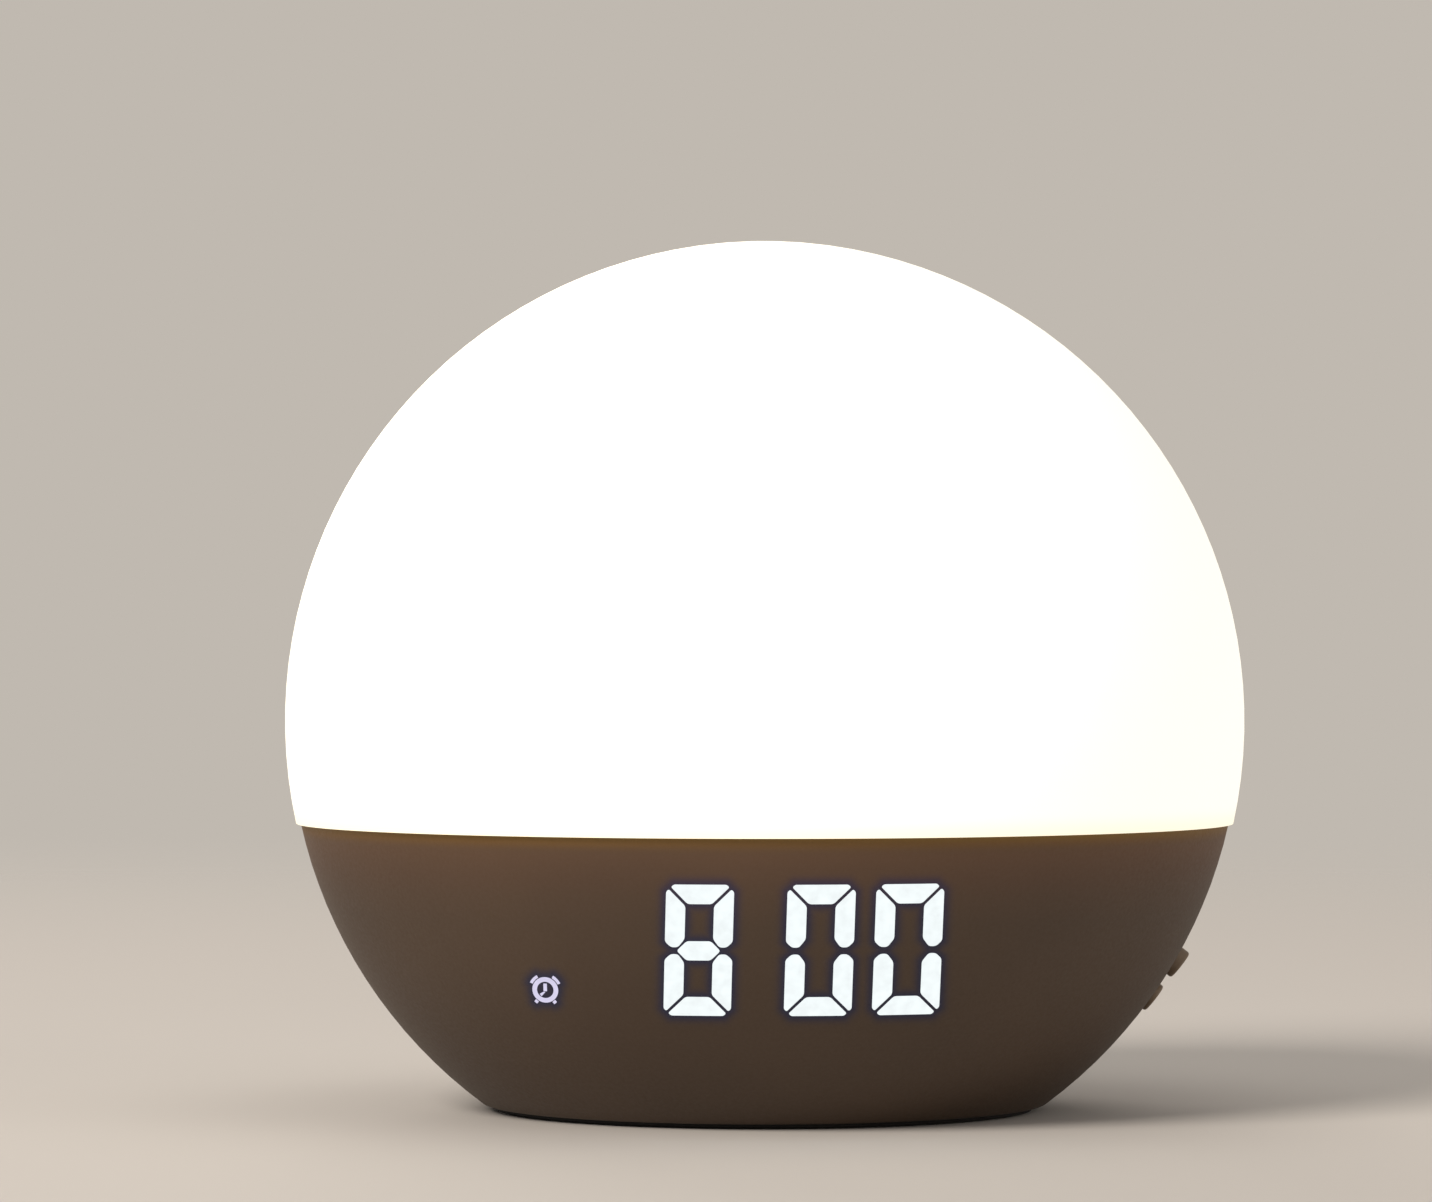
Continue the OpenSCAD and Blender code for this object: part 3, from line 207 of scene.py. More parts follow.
# matt paper: plain and soft, and clear towards its rim so that no horizon shows
def makeFloor():
    mesh = bpy.data.meshes.new("studioFloor")
    shape = bmesh.new()
    bmesh.ops.create_circle(shape, cap_ends=True, segments=96, radius=studio["floorRadius"])
    shape.to_mesh(mesh)
    shape.free()
    floor = bpy.data.objects.new("studioFloor", mesh)
    bpy.context.scene.collection.objects.link(floor)
    material, tree, shader = startMaterial("mattPaperFloor", {
        "Roughness": 0.9, "IOR": 1.4, "Base Color": linear(studio["floor"])})
    place = objectPlace(tree)
    fibre = addNoise(tree, place, studio["fibre"], {"Detail": 4.0})
    addBump(tree, shader, fibre, 0.01, 0.4)
    radius = addNode(tree, "VectorMath", {"operation": "LENGTH"}, {0: place})
    fade = addNode(tree, "MapRange", {"interpolation_type": "SMOOTHSTEP", "From Min": studio["fadeFrom"],
                                      "From Max": studio["fadeTo"]}, {"Value": radius.outputs["Value"]})
    clear = addNode(tree, "BsdfTransparent")
    both = addNode(tree, "MixShader", links={0: fade.outputs["Result"], 1: shader.outputs["BSDF"],
                                             2: clear.outputs["BSDF"]})
    tree.links.new(both.outputs["Shader"], tree.nodes["Material Output"].inputs["Surface"])
    mesh.materials.append(material)


# the air shows as a plain tone and lights the part with a weaker, warmer one
def makeAir():
    world = bpy.data.worlds.new("studioAir")
    bpy.context.scene.world = world
    world.use_nodes = True
    tree = world.node_tree
    lamp = tree.nodes["Background"]
    lamp.inputs["Color"].default_value = linear(studio["airLight"])
    lamp.inputs["Strength"].default_value = studio["worldLight"]
    seen = addNode(tree, "Background", {"Color": linear(studio["air"]), "Strength": 1.0})
    path = addNode(tree, "LightPath")
    shown = path.outputs["Is Camera Ray"]
    for kind in ("Is Glossy Ray", "Is Transmission Ray"):
        shown = addNode(tree, "Math", {"operation": "MAXIMUM"}, {0: shown, 1: path.outputs[kind]})
        shown = shown.outputs["Value"]
    both = addNode(tree, "MixShader", links={0: shown, 1: lamp.outputs["Background"],
                                             2: seen.outputs["Background"]})
    tree.links.new(both.outputs["Shader"], tree.nodes["World Output"].inputs["Surface"])


def makeLamps():
    for name in ("key", "fill", "back"):
        light = bpy.data.objects.new(name + "Light", bpy.data.lights.new(name + "Light", "AREA"))
        bpy.context.scene.collection.objects.link(light)
        light.data.shape = "DISK"
        light.data.size = studio[name + "Size"]
        light.data.energy = studio[name + "Power"]
        light.data.color = linear(studio["lampColour"])[:3]
        light.location = studio[name + "Place"]
        aim = Vector(studio["aim"]) - light.location
        light.rotation_euler = aim.to_track_quat("-Z", "Y").to_euler()


makeFloor()
makeAir()
makeLamps()
print("studio built")

# the lit dome: white, with a narrow cream band just above the seam
dome = {
    "plastic": "#e9e4d6",
    "seamPlastic": "#e3dbba",
    "glow": "#fffdf4",
    "seamGlow": "#fffae9",
    "strength": 0.68,
    "creamHeight": 3.4,    # mm over which the cream fades out above the seam
    "roughness": 0.42,
    "satin": 0.6,          # mm between the grains of the satin skin
    "satinHeight": 0.006,
}


# opal polycarbonate, moulded with a satin skin: lit evenly, no lamp shows through
def opalDome():
    material, tree, shader = startMaterial("opalPolycarbonateSatin", {
        "IOR": 1.585, "Roughness": dome["roughness"], "Emission Strength": dome["strength"]})
    place = objectPlace(tree)
    rise = addNode(tree, "MapRange", {"interpolation_type": "SMOOTHSTEP", "From Min": globe["seam"],
                                      "From Max": globe["seam"] + dome["creamHeight"] * mm},
                   {"Value": partOf(tree, place, "Z")}).outputs["Result"]
    addTone(tree, shader, rise, [(0.0, dome["seamPlastic"]), (1.0, dome["plastic"])])
    addTone(tree, shader, rise, [(0.0, dome["seamGlow"]), (1.0, dome["glow"])], "Emission Color")
    satin = addNoise(tree, place, dome["satin"], {"Detail": 2.0})
    addBump(tree, shader, satin, dome["satinHeight"])
    return material


dress(opalDome(), "dome_diffuser")
print("dome dressed")

# the base: matt taupe, with painted light where the dome's light spills over its top edge; grains in mm
base = {
    "skin": {"dark": "#453527", "light": "#4b3a2b", "roughness": 0.6, "grain": 0.55},
    "cover": {"dark": "#403329", "light": "#46382d", "roughness": 0.6, "grain": 0.6},
    # the buttons' lighter tone is partly their own paler tone and partly painted light, for the dome's
    # light they catch
    "button": {"dark": "#716150", "light": "#7d6b58", "roughness": 0.45, "grain": 0.45},
    # painted light: the yellow of the dome's light at the rim, mixed into the skin's colour
    "paintedRimLight": "#5e4216",
    "rimHeight": 2.6,     # mm below the seam that the yellow light at the rim reaches
    "spillHeight": 13.0,  # mm that the fainter light reaches
    # painted light: the glow of the dome's spilled light, painted as emission on the base
    "spill": [(0.0, "#000000"), (0.31, "#120602"), (0.52, "#1e0b03"), (0.66, "#261206"),
              (0.78, "#2d1708"), (0.92, "#2d1b07"), (1.0, "#2f2204")],
}


# matt ABS, moulded against a fine spark-eroded texture: soft broad sheen, no hard reflections;
# with painted light: yellower, lighter and glowing where the dome's light spills over its top edge
def taupeAbs(name, fringe=False):
    material = mouldedPlastic(name, **base["skin"])
    tree = material.node_tree
    shader = tree.nodes["Principled BSDF"]
    tone = shader.inputs["Base Color"].links[0].from_socket
    height = partOf(tree, objectPlace(tree), "Z")
    reach = {}
    for light in ("rim", "spill"):
        reach[light] = addNode(tree, "MapRange", {
            "From Min": globe["seam"] - base[light + "Height"] * mm,
            "From Max": globe["seam"]}, {"Value": height})
    reach["rim"].interpolation_type = "SMOOTHERSTEP"
    # painted light: the skin's colour turns yellow up to the seam
    warm = addNode(tree, "Mix", {"data_type": "RGBA", 7: linear(base["paintedRimLight"])},
                   {0: reach["rim"].outputs["Result"], 6: tone})
    tree.links.new(warm.outputs[2], shader.inputs["Base Color"])
    # painted light: the base glows below the seam as if lit by the dome
    addTone(tree, shader, reach["spill"].outputs["Result"], base["spill"], "Emission Color")
    shader.inputs["Emission Strength"].default_value = 1.0
    # painted light: the dark blue fringe of the lit shapes, mixed into the colour by the fringe attribute
    if fringe:
        near = addNode(tree, "Attribute", {"attribute_name": "fringe"})
        blue = addNode(tree, "Mix", {"data_type": "RGBA", 7: linear(display["fringe"])},
                       {0: near.outputs["Fac"], 6: warm.outputs[2]})
        tree.links.new(blue.outputs[2], shader.inputs["Base Color"])
    return material


# the same ABS on the cover and the door, a shade darker, and on the buttons, lighter and smoother; the
# buttons' lightness is partly their own paler tone and partly painted light, for the dome's light they
# catch
coverAbs = mouldedPlastic("taupeAbsUnderside", **base["cover"])
buttonAbs = mouldedPlastic("taupeAbsButton", **base["button"])
dress(taupeAbs("taupeAbsFineTexturePaintedSpill"), "base_shell")
dress(coverAbs, "bottom_cover", "battery_door")
dress(buttonAbs, "button_up", "button_down", "button_light", "button_clock", "button_alarm",
      "button_sound")
print("base and buttons dressed")

# the lit digits, in mm, laid on the skin of the base
display = {
    "height": 28.1, "digitWidth": 10.0, "digitHeight": 19.8,
    "stroke": 2.9, "gap": 0.45, "lean": 2.0,
    "cut": 1.1,            # how far the digits' outer corners are cut off
    "corner": 0.4,         # rounding of the segments' corners
    "tipInner": 0.67,      # a side segment's tip by the middle bar runs between these two,
    "tipOuter": 0.31,      # in strokes from the outer side
    "tipRise": 0.2,        # mm from the gap to that tip
    "tipShoulder": 0.36,   # strokes from the gap to where the outer side starts
    "lit": {"hoursDigit": (-8.9, "8"), "tensDigit": (8.9, "0"), "minutesDigit": (21.9, "0")},
    "proud": 0.05,         # how far the lit plates stand out of the skin
    "depth": 0.35,         # thickness of the plates, and of the skin round them
    "plateStep": 1.0,      # side of the small faces that let a plate follow the skin
    "sliver": 0.002,       # edges shorter than this are closed up
    "glow": "#f6feff",
    "plastic": "#20262b",  # the lit skin's own colour
    "grain": 1.6,          # mm between the grains that show in the light
    "grainDim": 0.96,      # how bright the light is in the dimmest grains
    # painted light: a dark blue fringe round the lit shapes, painted into the skin's colour
    "fringe": "#161d40",   # dark blue that the light's edge leaves on the skin
    "fringeWidth": 0.95,
    "fringeStrength": 0.9,
    "patchProud": 0.02,    # how far the skin that carries the fringe stands out round the light
    "patchReach": 2.2,     # how far round the light it goes
    "patchRise": 0.7,      # share of the reach over which it rises from its rim to its full height
    "patchDip": 0.5,       # how far under the base's skin its rim lies, in shares of patchProud
    "patchStep": 0.4,
}

# the alarm sign, in mm and degrees from its middle: a ring with two bells, two feet and two hands
sign = {
    "x": -31.95, "height": 21.67,
    "glow": "#d9d3ef",
    "corner": 0.05,
    "ring": (1.98, 1.26),  # outer and inner radius
    "ringSteps": 20,
    "bell": (2.56, 2.1),   # outer and inner radius
    "bellTurn": 47,        # from the top to the middle of a bell
    "bellSweep": 36,
    "bellSteps": 10,
    "foot": [(1.03, -1.83), (1.47, -1.48), (1.74, -1.84), (1.32, -2.18)],
    "upHand": [(-0.27, -0.2), (0.27, -0.2), (0.27, 0.98), (-0.27, 0.98)],
    "lowHand": [(-0.27, -0.28), (-0.86, -0.64), (-0.6, -1.02), (0.05, -0.28)],
}


# outlines of the seven segments of a digit, keyed as usual from a at the top, clockwise, to g
def segmentOutlines():
    w, h, s = display["digitWidth"] / 2, display["digitHeight"] / 2, display["stroke"]
    k = display["gap"] / math.sqrt(2)
    q = display["cut"]
    near, far = (q - k) / 2, (q + k) / 2
    tip = k + display["tipRise"]
    top = [(-w + q, h), (w - q, h), (w - far, h - near), (w - s - k, h - s), (-w + s + k, h - s),
           (-w + far, h - near)]
    side = [(w, h - q), (w - near, h - far), (w - s, h - s - k), (w - s, s / 2 + k),
            (w - s * display["tipInner"], tip), (w - s * display["tipOuter"], tip),
            (w, k + s * display["tipShoulder"])]
    middle = [(-w + s / 2 + k, 0), (-w + s + k, s / 2), (w - s - k, s / 2), (w - s / 2 - k, 0),
              (w - s - k, -s / 2), (-w + s + k, -s / 2)]
    flips = {"a": (top, 1, 1), "d": (top, 1, -1), "b": (side, 1, 1), "c": (side, 1, -1),
             "f": (side, -1, 1), "e": (side, -1, -1), "g": (middle, 1, 1)}
    slope = math.tan(math.radians(display["lean"]))
    outlines = {}
    for key, (points, fx, fy) in flips.items():
        turned = [(x * fx + y * fy * slope, y * fy) for x, y in points]
        outlines[key] = turned if fx * fy > 0 else turned[::-1]
    return outlines


segmentsOf = {"8": "abcdefg", "0": "abcdef"}


# a band between an outer and an inner radius, from an angle over a sweep, in degrees
def arcBand(radii, start, sweep, steps):
    angles = [math.radians(start + sweep * i / steps) for i in range(steps + 1)]
    outer, inner = [[(radius * math.cos(a), radius * math.sin(a)) for a in angles] for radius in radii]
    return outer + inner[::-1]


# the ring comes in two halves, because an outline can't have a hole
def signOutlines():
    shapes = [arcBand(sign["ring"], start, 180, sign["ringSteps"]) for start in (0, 180)]
    for side in (-1, 1):
        start = 90 - side * sign["bellTurn"] - sign["bellSweep"] / 2
        shapes.append(arcBand(sign["bell"], start, sign["bellSweep"], sign["bellSteps"]))
        shapes.append([(side * x, z) for x, z in sign["foot"]][::side])
    return shapes + [sign["upHand"], sign["lowHand"]]


def moved(shapes, cx, cz):
    return [[(cx + x, cz + z) for x, z in points] for points in shapes]


# rounds the corners of an outline with short arcs
def roundCorners(points, radius):
    steps = 4
    most = 0.45  # share of a side that one arc may take
    rounded = []
    for i, corner in enumerate(points):
        corner = Vector(corner)
        before = Vector(points[i - 1]) - corner
        after = Vector(points[(i + 1) % len(points)]) - corner
        cut = min(radius, before.length * most, after.length * most)
        start = corner + before.normalized() * cut
        end = corner + after.normalized() * cut
        for step in range(steps + 1):
            t = step / steps
            rounded.append((1 - t) ** 2 * start + 2 * t * (1 - t) * corner + t ** 2 * end)
    return rounded


# y of the base's skin under a point of the display, both in mm
def skinDepth(x, z, lift):
    radius = globe["baseRadius"] / mm + lift
    up = z - globe["middle"] / mm
    return -math.sqrt(radius ** 2 - x ** 2 - up ** 2)


# closed thin plates that follow the skin, from flat outlines cut into small faces;
# liftAt gives how far out of the skin they stand at a place
def platesOnSkin(name, outlines, liftAt, step):
    shape = bmesh.new()
    for points in outlines:
        shape.faces.new([shape.verts.new((x, 0, z)) for x, z in points])
    low = [min(v.co[i] for v in shape.verts) for i in (0, 2)]
    high = [max(v.co[i] for v in shape.verts) for i in (0, 2)]
    for axis, normal in ((0, (1, 0, 0)), (1, (0, 0, 1))):
        place = low[axis] + step
        while place < high[axis]:
            at = (place, 0, 0) if axis == 0 else (0, 0, place)
            geometry = shape.verts[:] + shape.edges[:] + shape.faces[:]
            bmesh.ops.bisect_plane(shape, geom=geometry, plane_co=at, plane_no=normal)
            place += step
    # a cut close by a corner leaves a face with no area
    bmesh.ops.dissolve_degenerate(shape, dist=display["sliver"], edges=shape.edges[:])
    front = shape.verts[:]
    grown = bmesh.ops.extrude_face_region(shape, geom=shape.faces[:], use_keep_orig=True)
    back = [v for v in grown["geom"] if isinstance(v, bmesh.types.BMVert)]
    for verts, depth in ((front, 0), (back, display["depth"])):
        for v in verts:
            v.co.y = skinDepth(v.co.x, v.co.z, liftAt(v.co.x, v.co.z) - depth)
    bmesh.ops.recalc_face_normals(shape, faces=shape.faces[:])
    bmesh.ops.scale(shape, vec=(mm, mm, mm), verts=shape.verts[:])
    mesh = bpy.data.meshes.new(name)
    shape.to_mesh(mesh)
    shape.free()
    piece = bpy.data.objects.new(name, mesh)
    bpy.context.scene.collection.objects.link(piece)
    return piece


# light through the thin skin: even, with the plastic's grain just showing in it
def litSkin(name, glowHex):
    material, tree, shader = startMaterial(name, {
        "IOR": 1.5, "Roughness": 0.5, "Base Color": linear(display["plastic"]), "Emission Strength": 1.0})
    grain = addNoise(tree, objectPlace(tree), display["grain"], {"Detail": 2.0})
    dimmed = tuple(int(int(glowHex[i:i + 2], 16) * display["grainDim"]) for i in (1, 3, 5))
    addTone(tree, shader, grain, [(0.3, "#%02x%02x%02x" % dimmed), (0.7, glowHex)], "Emission Color")
    return material


# distance from a point to the nearest side of any outline
def distanceTo(x, z, shapes):
    nearest = math.inf
    for points in shapes:
        for (ax, az), (bx, bz) in zip(points, points[1:] + points[:1]):
            run, rise = bx - ax, bz - az
            t = ((x - ax) * run + (z - az) * rise) / (run * run + rise * rise)
            t = min(1.0, max(0.0, t))
            nearest = min(nearest, math.hypot(x - ax - t * run, z - az - t * rise))
    return nearest


# the skin round lit shapes, with the dark blue fringe of their light painted into its colour, fading out
# over it;
# its rim dips just under the base's own skin, so that no edge shows
def fringedSkin(name, shapes):
    reach, dip = display["patchReach"], display["patchDip"]
    xs = [x for points in shapes for x, z in points]
    zs = [z for points in shapes for x, z in points]
    left, right, low, high = min(xs) - reach, max(xs) + reach, min(zs) - reach, max(zs) + reach
    patch = [(left, low), (right, low), (right, high), (left, high)]

    def liftAt(x, z):
        fromRim = min(x - left, right - x, z - low, high - z)
        rise = fromRim / (display["patchRise"] * reach) * (1 + dip) - dip
        return display["patchProud"] * min(1.0, rise)

    piece = platesOnSkin(name, [roundCorners(patch, reach)], liftAt, display["patchStep"])
    near = piece.data.attributes.new("fringe", "FLOAT", "POINT")
    for vertex, value in zip(piece.data.vertices, near.data):
        away = distanceTo(vertex.co.x / mm, vertex.co.z / mm, shapes)
        value.value = display["fringeStrength"] * math.exp(-(away / display["fringeWidth"]) ** 2)
    piece.data.shade_smooth()
    piece.data.set_sharp_from_angle(angle=math.radians(40))
    piece.data.materials.append(paintedFringeAbs)
    return piece


digitLight = litSkin("whiteLightThroughAbs", display["glow"])
signLight = litSkin("paleLightThroughAbs", sign["glow"])
# painted light: the skin round the lit shapes, with their fringe and the dome's spill painted in
paintedFringeAbs = taupeAbs("taupeAbsPaintedFringe", fringe=True)
outlines = segmentOutlines()
litShapes = {"alarmSign": (moved(signOutlines(), sign["x"], sign["height"]), signLight, sign["corner"])}
for name, (cx, figure) in display["lit"].items():
    segments = [outlines[key] for key in segmentsOf[figure]]
    litShapes[name] = (moved(segments, cx, display["height"]), digitLight, display["corner"])
for name, (shapes, light, corner) in litShapes.items():
    lit = platesOnSkin(name, [roundCorners(points, corner) for points in shapes],
                       lambda x, z: display["proud"], display["plateStep"])
    lit.data.materials.append(light)
    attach(lit, "base")
digitShapes = [points for name in display["lit"] for points in litShapes[name][0]]
for name, shapes in (("digitsSkin", digitShapes), ("alarmSignSkin", litShapes["alarmSign"][0])):
    skin = fringedSkin(name, shapes)
    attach(skin, "base")
print("digits lit")

# white moulded plastic that sends the light on: bright, satin, faintly warm
white = {"dark": "#e4e3de", "light": "#efeeea", "roughness": 0.4, "grain": 0.7}
dress(mouldedPlastic("whitePolystyreneSatin", **white), "light_tray", "display_block")

# zinc-plated steel: grey-blue, softly mottled
zinc = {"dark": "#a9adb2", "light": "#c4c6c8", "roughness": 0.34, "mottle": 1.2}
dress(platedMetal("zincPlatedSteel", **zinc), "tray_screws", "led_board_screws", "cover_screws",
      "display_screws", "main_board_screws", "switch_board_screws")

# drawn nickel-plated shell of the inlet: warm grey, brighter and smoother than the screws
nickel = {"dark": "#b9b6ae", "light": "#cfccc5", "roughness": 0.26, "mottle": 2.5, "scratch": 0.15}
dress(platedMetal("nickelPlatedShell", **nickel), "power_inlet")

# the boards, with sizes in mm
board = {
    "mask": "#0f3f22", "track": "#1f6b3c",
    "patch": 7.5,       # side of the patches that the tracks run in
    "trackStep": 0.8,   # from track to track
    "trackEdge": (0.62, 0.72),
    "bareShare": 0.35,  # share of the patches that have no tracks
    "trackHeight": 0.03,
    "ledMask": "#e9e8e4", "ledPad": "#dfddd6",
    "padStep": 9,
    "padEdge": (0.42, 0.46),
    "padHeight": 0.02,
}


# green solder mask over copper: runs of fine tracks in patches, across and along the board
def solderMask(name, across, along):
    material, tree, shader = startMaterial(name, {"IOR": 1.5, "Roughness": 0.32})
    place = objectPlace(tree)
    cells = addNode(tree, "TexVoronoi", {"distance": "CHEBYCHEV", "Scale": 1 / (board["patch"] * mm)},
                    {"Vector": place})
    pick = addNode(tree, "SeparateColor", links={"Color": cells.outputs["Color"]})
    runs = []
    for direction in (across, along):
        wave = addNode(tree, "TexWave", {"wave_type": "BANDS", "bands_direction": direction,
                                         "wave_profile": "SIN", "Scale": waveScale(board["trackStep"])},
                       {"Vector": place})
        runs.append(stretch(tree, wave.outputs["Fac"], *board["trackEdge"]))
    chosen = addNode(tree, "Math", {"operation": "GREATER_THAN", 1: 0.5}, {0: pick.outputs["Red"]})
    either = addNode(tree, "Mix", links={0: chosen.outputs["Value"], 2: runs[0], 3: runs[1]})
    tracked = addNode(tree, "Math", {"operation": "GREATER_THAN", 1: board["bareShare"]},
                      {0: pick.outputs["Green"]})
    copper = addNode(tree, "Math", {"operation": "MULTIPLY"},
                     {0: either.outputs[0], 1: tracked.outputs["Value"]}).outputs["Value"]
    addTone(tree, shader, copper, [(0.0, board["mask"]), (1.0, board["track"])])
    addBump(tree, shader, copper, board["trackHeight"])
    return material


dress(solderMask("greenSolderMaskFlat", "X", "Y"), "main_board")
dress(solderMask("greenSolderMaskUpright", "X", "Z"), "display_board", "side_switch_board",
      "back_switch_board")


# white solder mask on aluminium: bright and flat, copper pads faintly outlined
def whiteMask():
    material, tree, shader = startMaterial("whiteSolderMask", {"IOR": 1.5, "Roughness": 0.3})
    pads = addNode(tree, "TexVoronoi", {"distance": "CHEBYCHEV", "Scale": 1 / (board["padStep"] * mm)},
                   {"Vector": objectPlace(tree)})
    edge = stretch(tree, pads.outputs["Distance"], *board["padEdge"])
    addTone(tree, shader, edge, [(0.0, board["ledMask"]), (1.0, board["ledPad"])])
    addBump(tree, shader, edge, board["padHeight"])
    return material


dress(whiteMask(), "led_board")

# the LEDs of the lamp and of the display
led = {
    "package": "#efeee8", "phosphor": "#f3e27c",
    "glow": "#ffe694",
    "lampStrength": 0.7,
    "displayStrength": 0.5,
    "window": (0.8, 0.9),  # how squarely a face has to look outwards to count as the window
}


# LED package: white moulded sides, yellow phosphor under clear gel where it faces out, lit
def ledPackage(name, axis, sign, strength):
    material, tree, shader = startMaterial(name, {"IOR": 1.41, "Roughness": 0.2,
                                                  "Emission Strength": strength})
    normal = partOf(tree, addNode(tree, "NewGeometry").outputs["Normal"], axis)
    face = addNode(tree, "Math", {"operation": "MULTIPLY", 1: sign}, {0: normal})
    window = stretch(tree, face.outputs["Value"], *led["window"])
    addTone(tree, shader, window, [(0.0, led["package"]), (1.0, led["phosphor"])])
    addTone(tree, shader, window, [(0.0, "#000000"), (1.0, led["glow"])], "Emission Color")
    return material


dress(ledPackage("ledLensUp", "Z", 1, led["lampStrength"]), "led_chips")
dress(ledPackage("ledLensForward", "Y", -1, led["displayStrength"]), "display_leds")

# switches and plungers in glass-filled nylon: near black, with a dull sheen
blackNylon = {"dark": "#1c1c1d", "light": "#242425", "roughness": 0.45, "grain": 0.4}
dress(mouldedPlastic("blackNylonMoulded", **blackNylon), "side_switches", "back_switches", "up_plunger",
      "down_plunger", "light_plunger", "clock_plunger", "alarm_plunger", "sound_plunger")

# chips in filled epoxy: black and matt
epoxy = {"dark": "#161617", "light": "#1e1e20", "roughness": 0.6, "grain": 0.15}
dress(mouldedPlastic("blackEpoxyMoulded", **epoxy), "board_chips")

# connectors in natural nylon: creamy, a little glossy
nylon = {"dark": "#e3d9bd", "light": "#ece4cc", "roughness": 0.42, "grain": 0.6}
dress(mouldedPlastic("naturalNylonMoulded", **nylon), "board_connectors")

capacitor = {
    "sleeve": "#20242c", "can": "#b8babd",
    "top": (0.7, 0.8),  # how squarely a face has to look up to count as the bare top
    "film": 2,          # mm between the ripples of the shrunk film
    "filmHeight": 0.03,
}


# aluminium can in a dark sleeve: bare on top, satin film round the side
def capacitorSleeve():
    material, tree, shader = startMaterial("aluminiumCanInSleeve", {"Roughness": 0.3})
    normal = partOf(tree, addNode(tree, "NewGeometry").outputs["Normal"], "Z")
    top = stretch(tree, normal, *capacitor["top"])
    film = addNoise(tree, objectPlace(tree), capacitor["film"], {"Detail": 3.0})
    addTone(tree, shader, top, [(0.0, capacitor["sleeve"]), (1.0, capacitor["can"])])
    tree.links.new(top, shader.inputs["Metallic"])
    addBump(tree, shader, film, capacitor["filmHeight"])
    return material


dress(capacitorSleeve(), "board_capacitors")

# the speaker: black steel basket, sintered ferrite, coated paper cone and a foam gasket; sizes in mm
speaker = {
    "basket": {"dark": "#3a3b3e", "light": "#47484b", "roughness": 0.42, "mottle": 1.5},
    "ferrite": {"dark": "#333436", "light": "#3d3e40", "roughness": 0.7, "grain": 0.5, "grainHeight": 0.04},
    "paperDark": "#1c1b1a", "paperLight": "#34322f",
    "fibre": 0.8, "fibreHeight": 0.06,
    "foamDark": "#1a1a1b", "foamLight": "#303032",
    "cell": 0.7, "cellHeight": 0.12,  # coarser than real foam, whose cells wouldn't show
}

# black passivated steel: dark, with a dull metal sheen
dress(platedMetal("blackPassivatedSteel", **speaker["basket"]), "speaker_frame")
# sintered ferrite: charcoal, dry and slightly rough
dress(mouldedPlastic("sinteredFerrite", **speaker["ferrite"]), "speaker_magnet")


# pressed paper: short fibres in every direction under a dull coating
def coatedPaper():
    material, tree, shader = startMaterial("coatedPaperPressed", {"Roughness": 0.78, "IOR": 1.45})
    fibres = addNoise(tree, objectPlace(tree), speaker["fibre"],
                      {"Detail": 6.0, "Roughness": 0.75, "Distortion": 3.0})
    addTone(tree, shader, fibres, [(0.35, speaker["paperDark"]), (0.7, speaker["paperLight"])])
    addBump(tree, shader, fibres, speaker["fibreHeight"])
    return material


# closed-cell foam: small round cells, dull black
def foamStrip():
    material, tree, shader = startMaterial("closedCellFoam", {"Roughness": 0.95, "IOR": 1.4})
    cells = addNode(tree, "TexVoronoi", {"Scale": 1 / (speaker["cell"] * mm)},
                    {"Vector": objectPlace(tree)}).outputs["Distance"]
    addTone(tree, shader, cells, [(0.1, speaker["foamDark"]), (0.7, speaker["foamLight"])])
    addBump(tree, shader, cells, speaker["cellHeight"])
    return material


dress(coatedPaper(), "speaker_cone")
dress(foamStrip(), "speaker_gasket")

# silicone rubber foot: dull, near black, grips with a fine ground texture
rubber = {"dark": "#191817", "light": "#222120", "roughness": 0.8, "grain": 0.5, "grainHeight": 0.03}
dress(mouldedPlastic("siliconeRubberFoot", **rubber), "foot_ring")

# the backup cell, in mm
cell = {
    "dark": "#c3c4c4", "light": "#d6d6d4",
    "y": 19.55,  # how far behind the middle of the globe the cell's axis is
    "ringStep": 0.5,
    "ringHeight": 0.004,
    "contact": {"dark": "#c9a64f", "light": "#dcbc68", "roughness": 0.28, "mottle": 2.0},
}


# stainless can: bright, with fine turned rings from pressing
def steelCan():
    material, tree, shader = startMaterial("stainlessCanPressed", {"Metallic": 1.0, "Roughness": 0.24})
    middle = addNode(tree, "Mapping", {"Location": (0, -cell["y"] * mm, 0)}, {"Vector": objectPlace(tree)})
    rings = addNode(tree, "TexWave", {"wave_type": "RINGS", "rings_direction": "Z",
                                      "Scale": waveScale(cell["ringStep"]), "Distortion": 0.4},
                    {"Vector": middle.outputs["Vector"]}).outputs["Fac"]
    addTone(tree, shader, rings, [(0.0, cell["dark"]), (1.0, cell["light"])])
    addBump(tree, shader, rings, cell["ringHeight"])
    return material


dress(steelCan(), "coin_cell")
# spring brass: yellow, rolled smooth
dress(platedMetal("springBrassLeaf", **cell["contact"]), "battery_contacts")

# the leads, in mm
lead = {
    "red": "#a3231d", "black": "#1b1b1d",
    "ledPairX": 20.0, "speakerPairX": 0.0,  # where the two wires of a pair meet
    "strand": 0.5, "strandHeight": 0.02,
    "film": "#e9e8e3", "conductor": "#b3b4b3",
    "conductorStep": 1.0, "conductorEdge": (0.35, 0.5), "conductorHeight": 0.03,
}


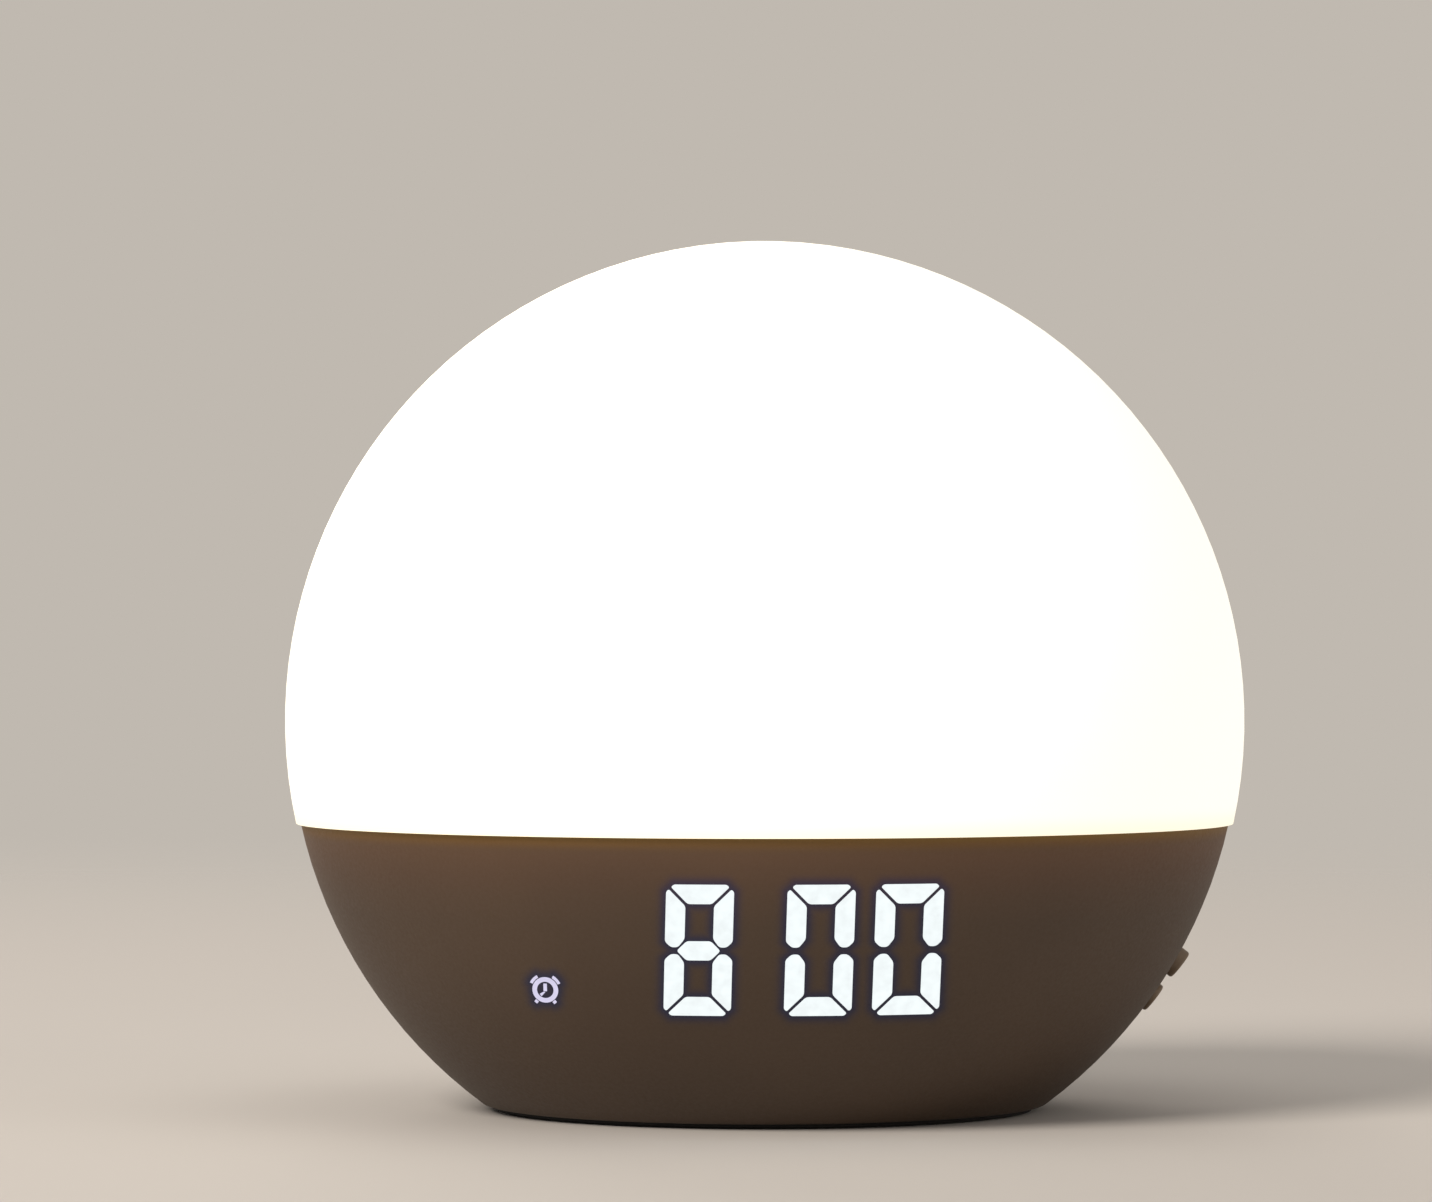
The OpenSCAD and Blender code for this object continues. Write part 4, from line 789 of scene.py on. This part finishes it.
# stranded wire in PVC: a red and a black one side by side, smooth with a hint of the strands
def pvcPair(name, split):
    material, tree, shader = startMaterial(name, {"Roughness": 0.38, "IOR": 1.53})
    place = objectPlace(tree)
    second = addNode(tree, "Math", {"operation": "GREATER_THAN", 1: split * mm},
                     {0: partOf(tree, place, "X")})
    addTone(tree, shader, second.outputs["Value"], [(0.0, lead["red"]), (1.0, lead["black"])])
    addBump(tree, shader, addNoise(tree, place, lead["strand"], {}), lead["strandHeight"])
    return material


# flat flexible cable: pale film with tinned conductors showing through
def flatCable(name, direction):
    material, tree, shader = startMaterial(name, {"Roughness": 0.3, "IOR": 1.6})
    wave = addNode(tree, "TexWave", {"wave_type": "BANDS", "bands_direction": direction,
                                     "Scale": waveScale(lead["conductorStep"])},
                   {"Vector": objectPlace(tree)})
    strip = stretch(tree, wave.outputs["Fac"], *lead["conductorEdge"])
    addTone(tree, shader, strip, [(0.0, lead["film"]), (1.0, lead["conductor"])])
    addBump(tree, shader, strip, lead["conductorHeight"])
    return material


dress(pvcPair("pvcPairLed", lead["ledPairX"]), "led_lead")
dress(pvcPair("pvcPairSpeaker", lead["speakerPairX"]), "speaker_lead")
dress(flatCable("flatCableAcross", "X"), "display_ribbon", "back_switch_lead")
dress(flatCable("flatCableAlong", "Y"), "side_switch_lead")

film = {
    "dark": "#dfe4e8", "light": "#eef1f3",
    "glow": "#e8f4ff", "strength": 0.25,
    "frost": 0.3, "frostHeight": 0.02,  # mm
}


# frosted polyester film: milky, matt, with the display's light behind it
def frostedFilm():
    material, tree, shader = startMaterial("frostedPolyesterFilm", {
        "Roughness": 0.6, "IOR": 1.57, "Emission Strength": film["strength"],
        "Emission Color": linear(film["glow"])})
    frost = addNoise(tree, objectPlace(tree), film["frost"], {"Detail": 4.0})
    addTone(tree, shader, frost, [(0.3, film["dark"]), (0.7, film["light"])])
    addBump(tree, shader, frost, film["frostHeight"])
    return material


dress(frostedFilm(), "display_film")
print("inner parts dressed")

bpy.context.scene.view_settings.view_transform = "Standard"
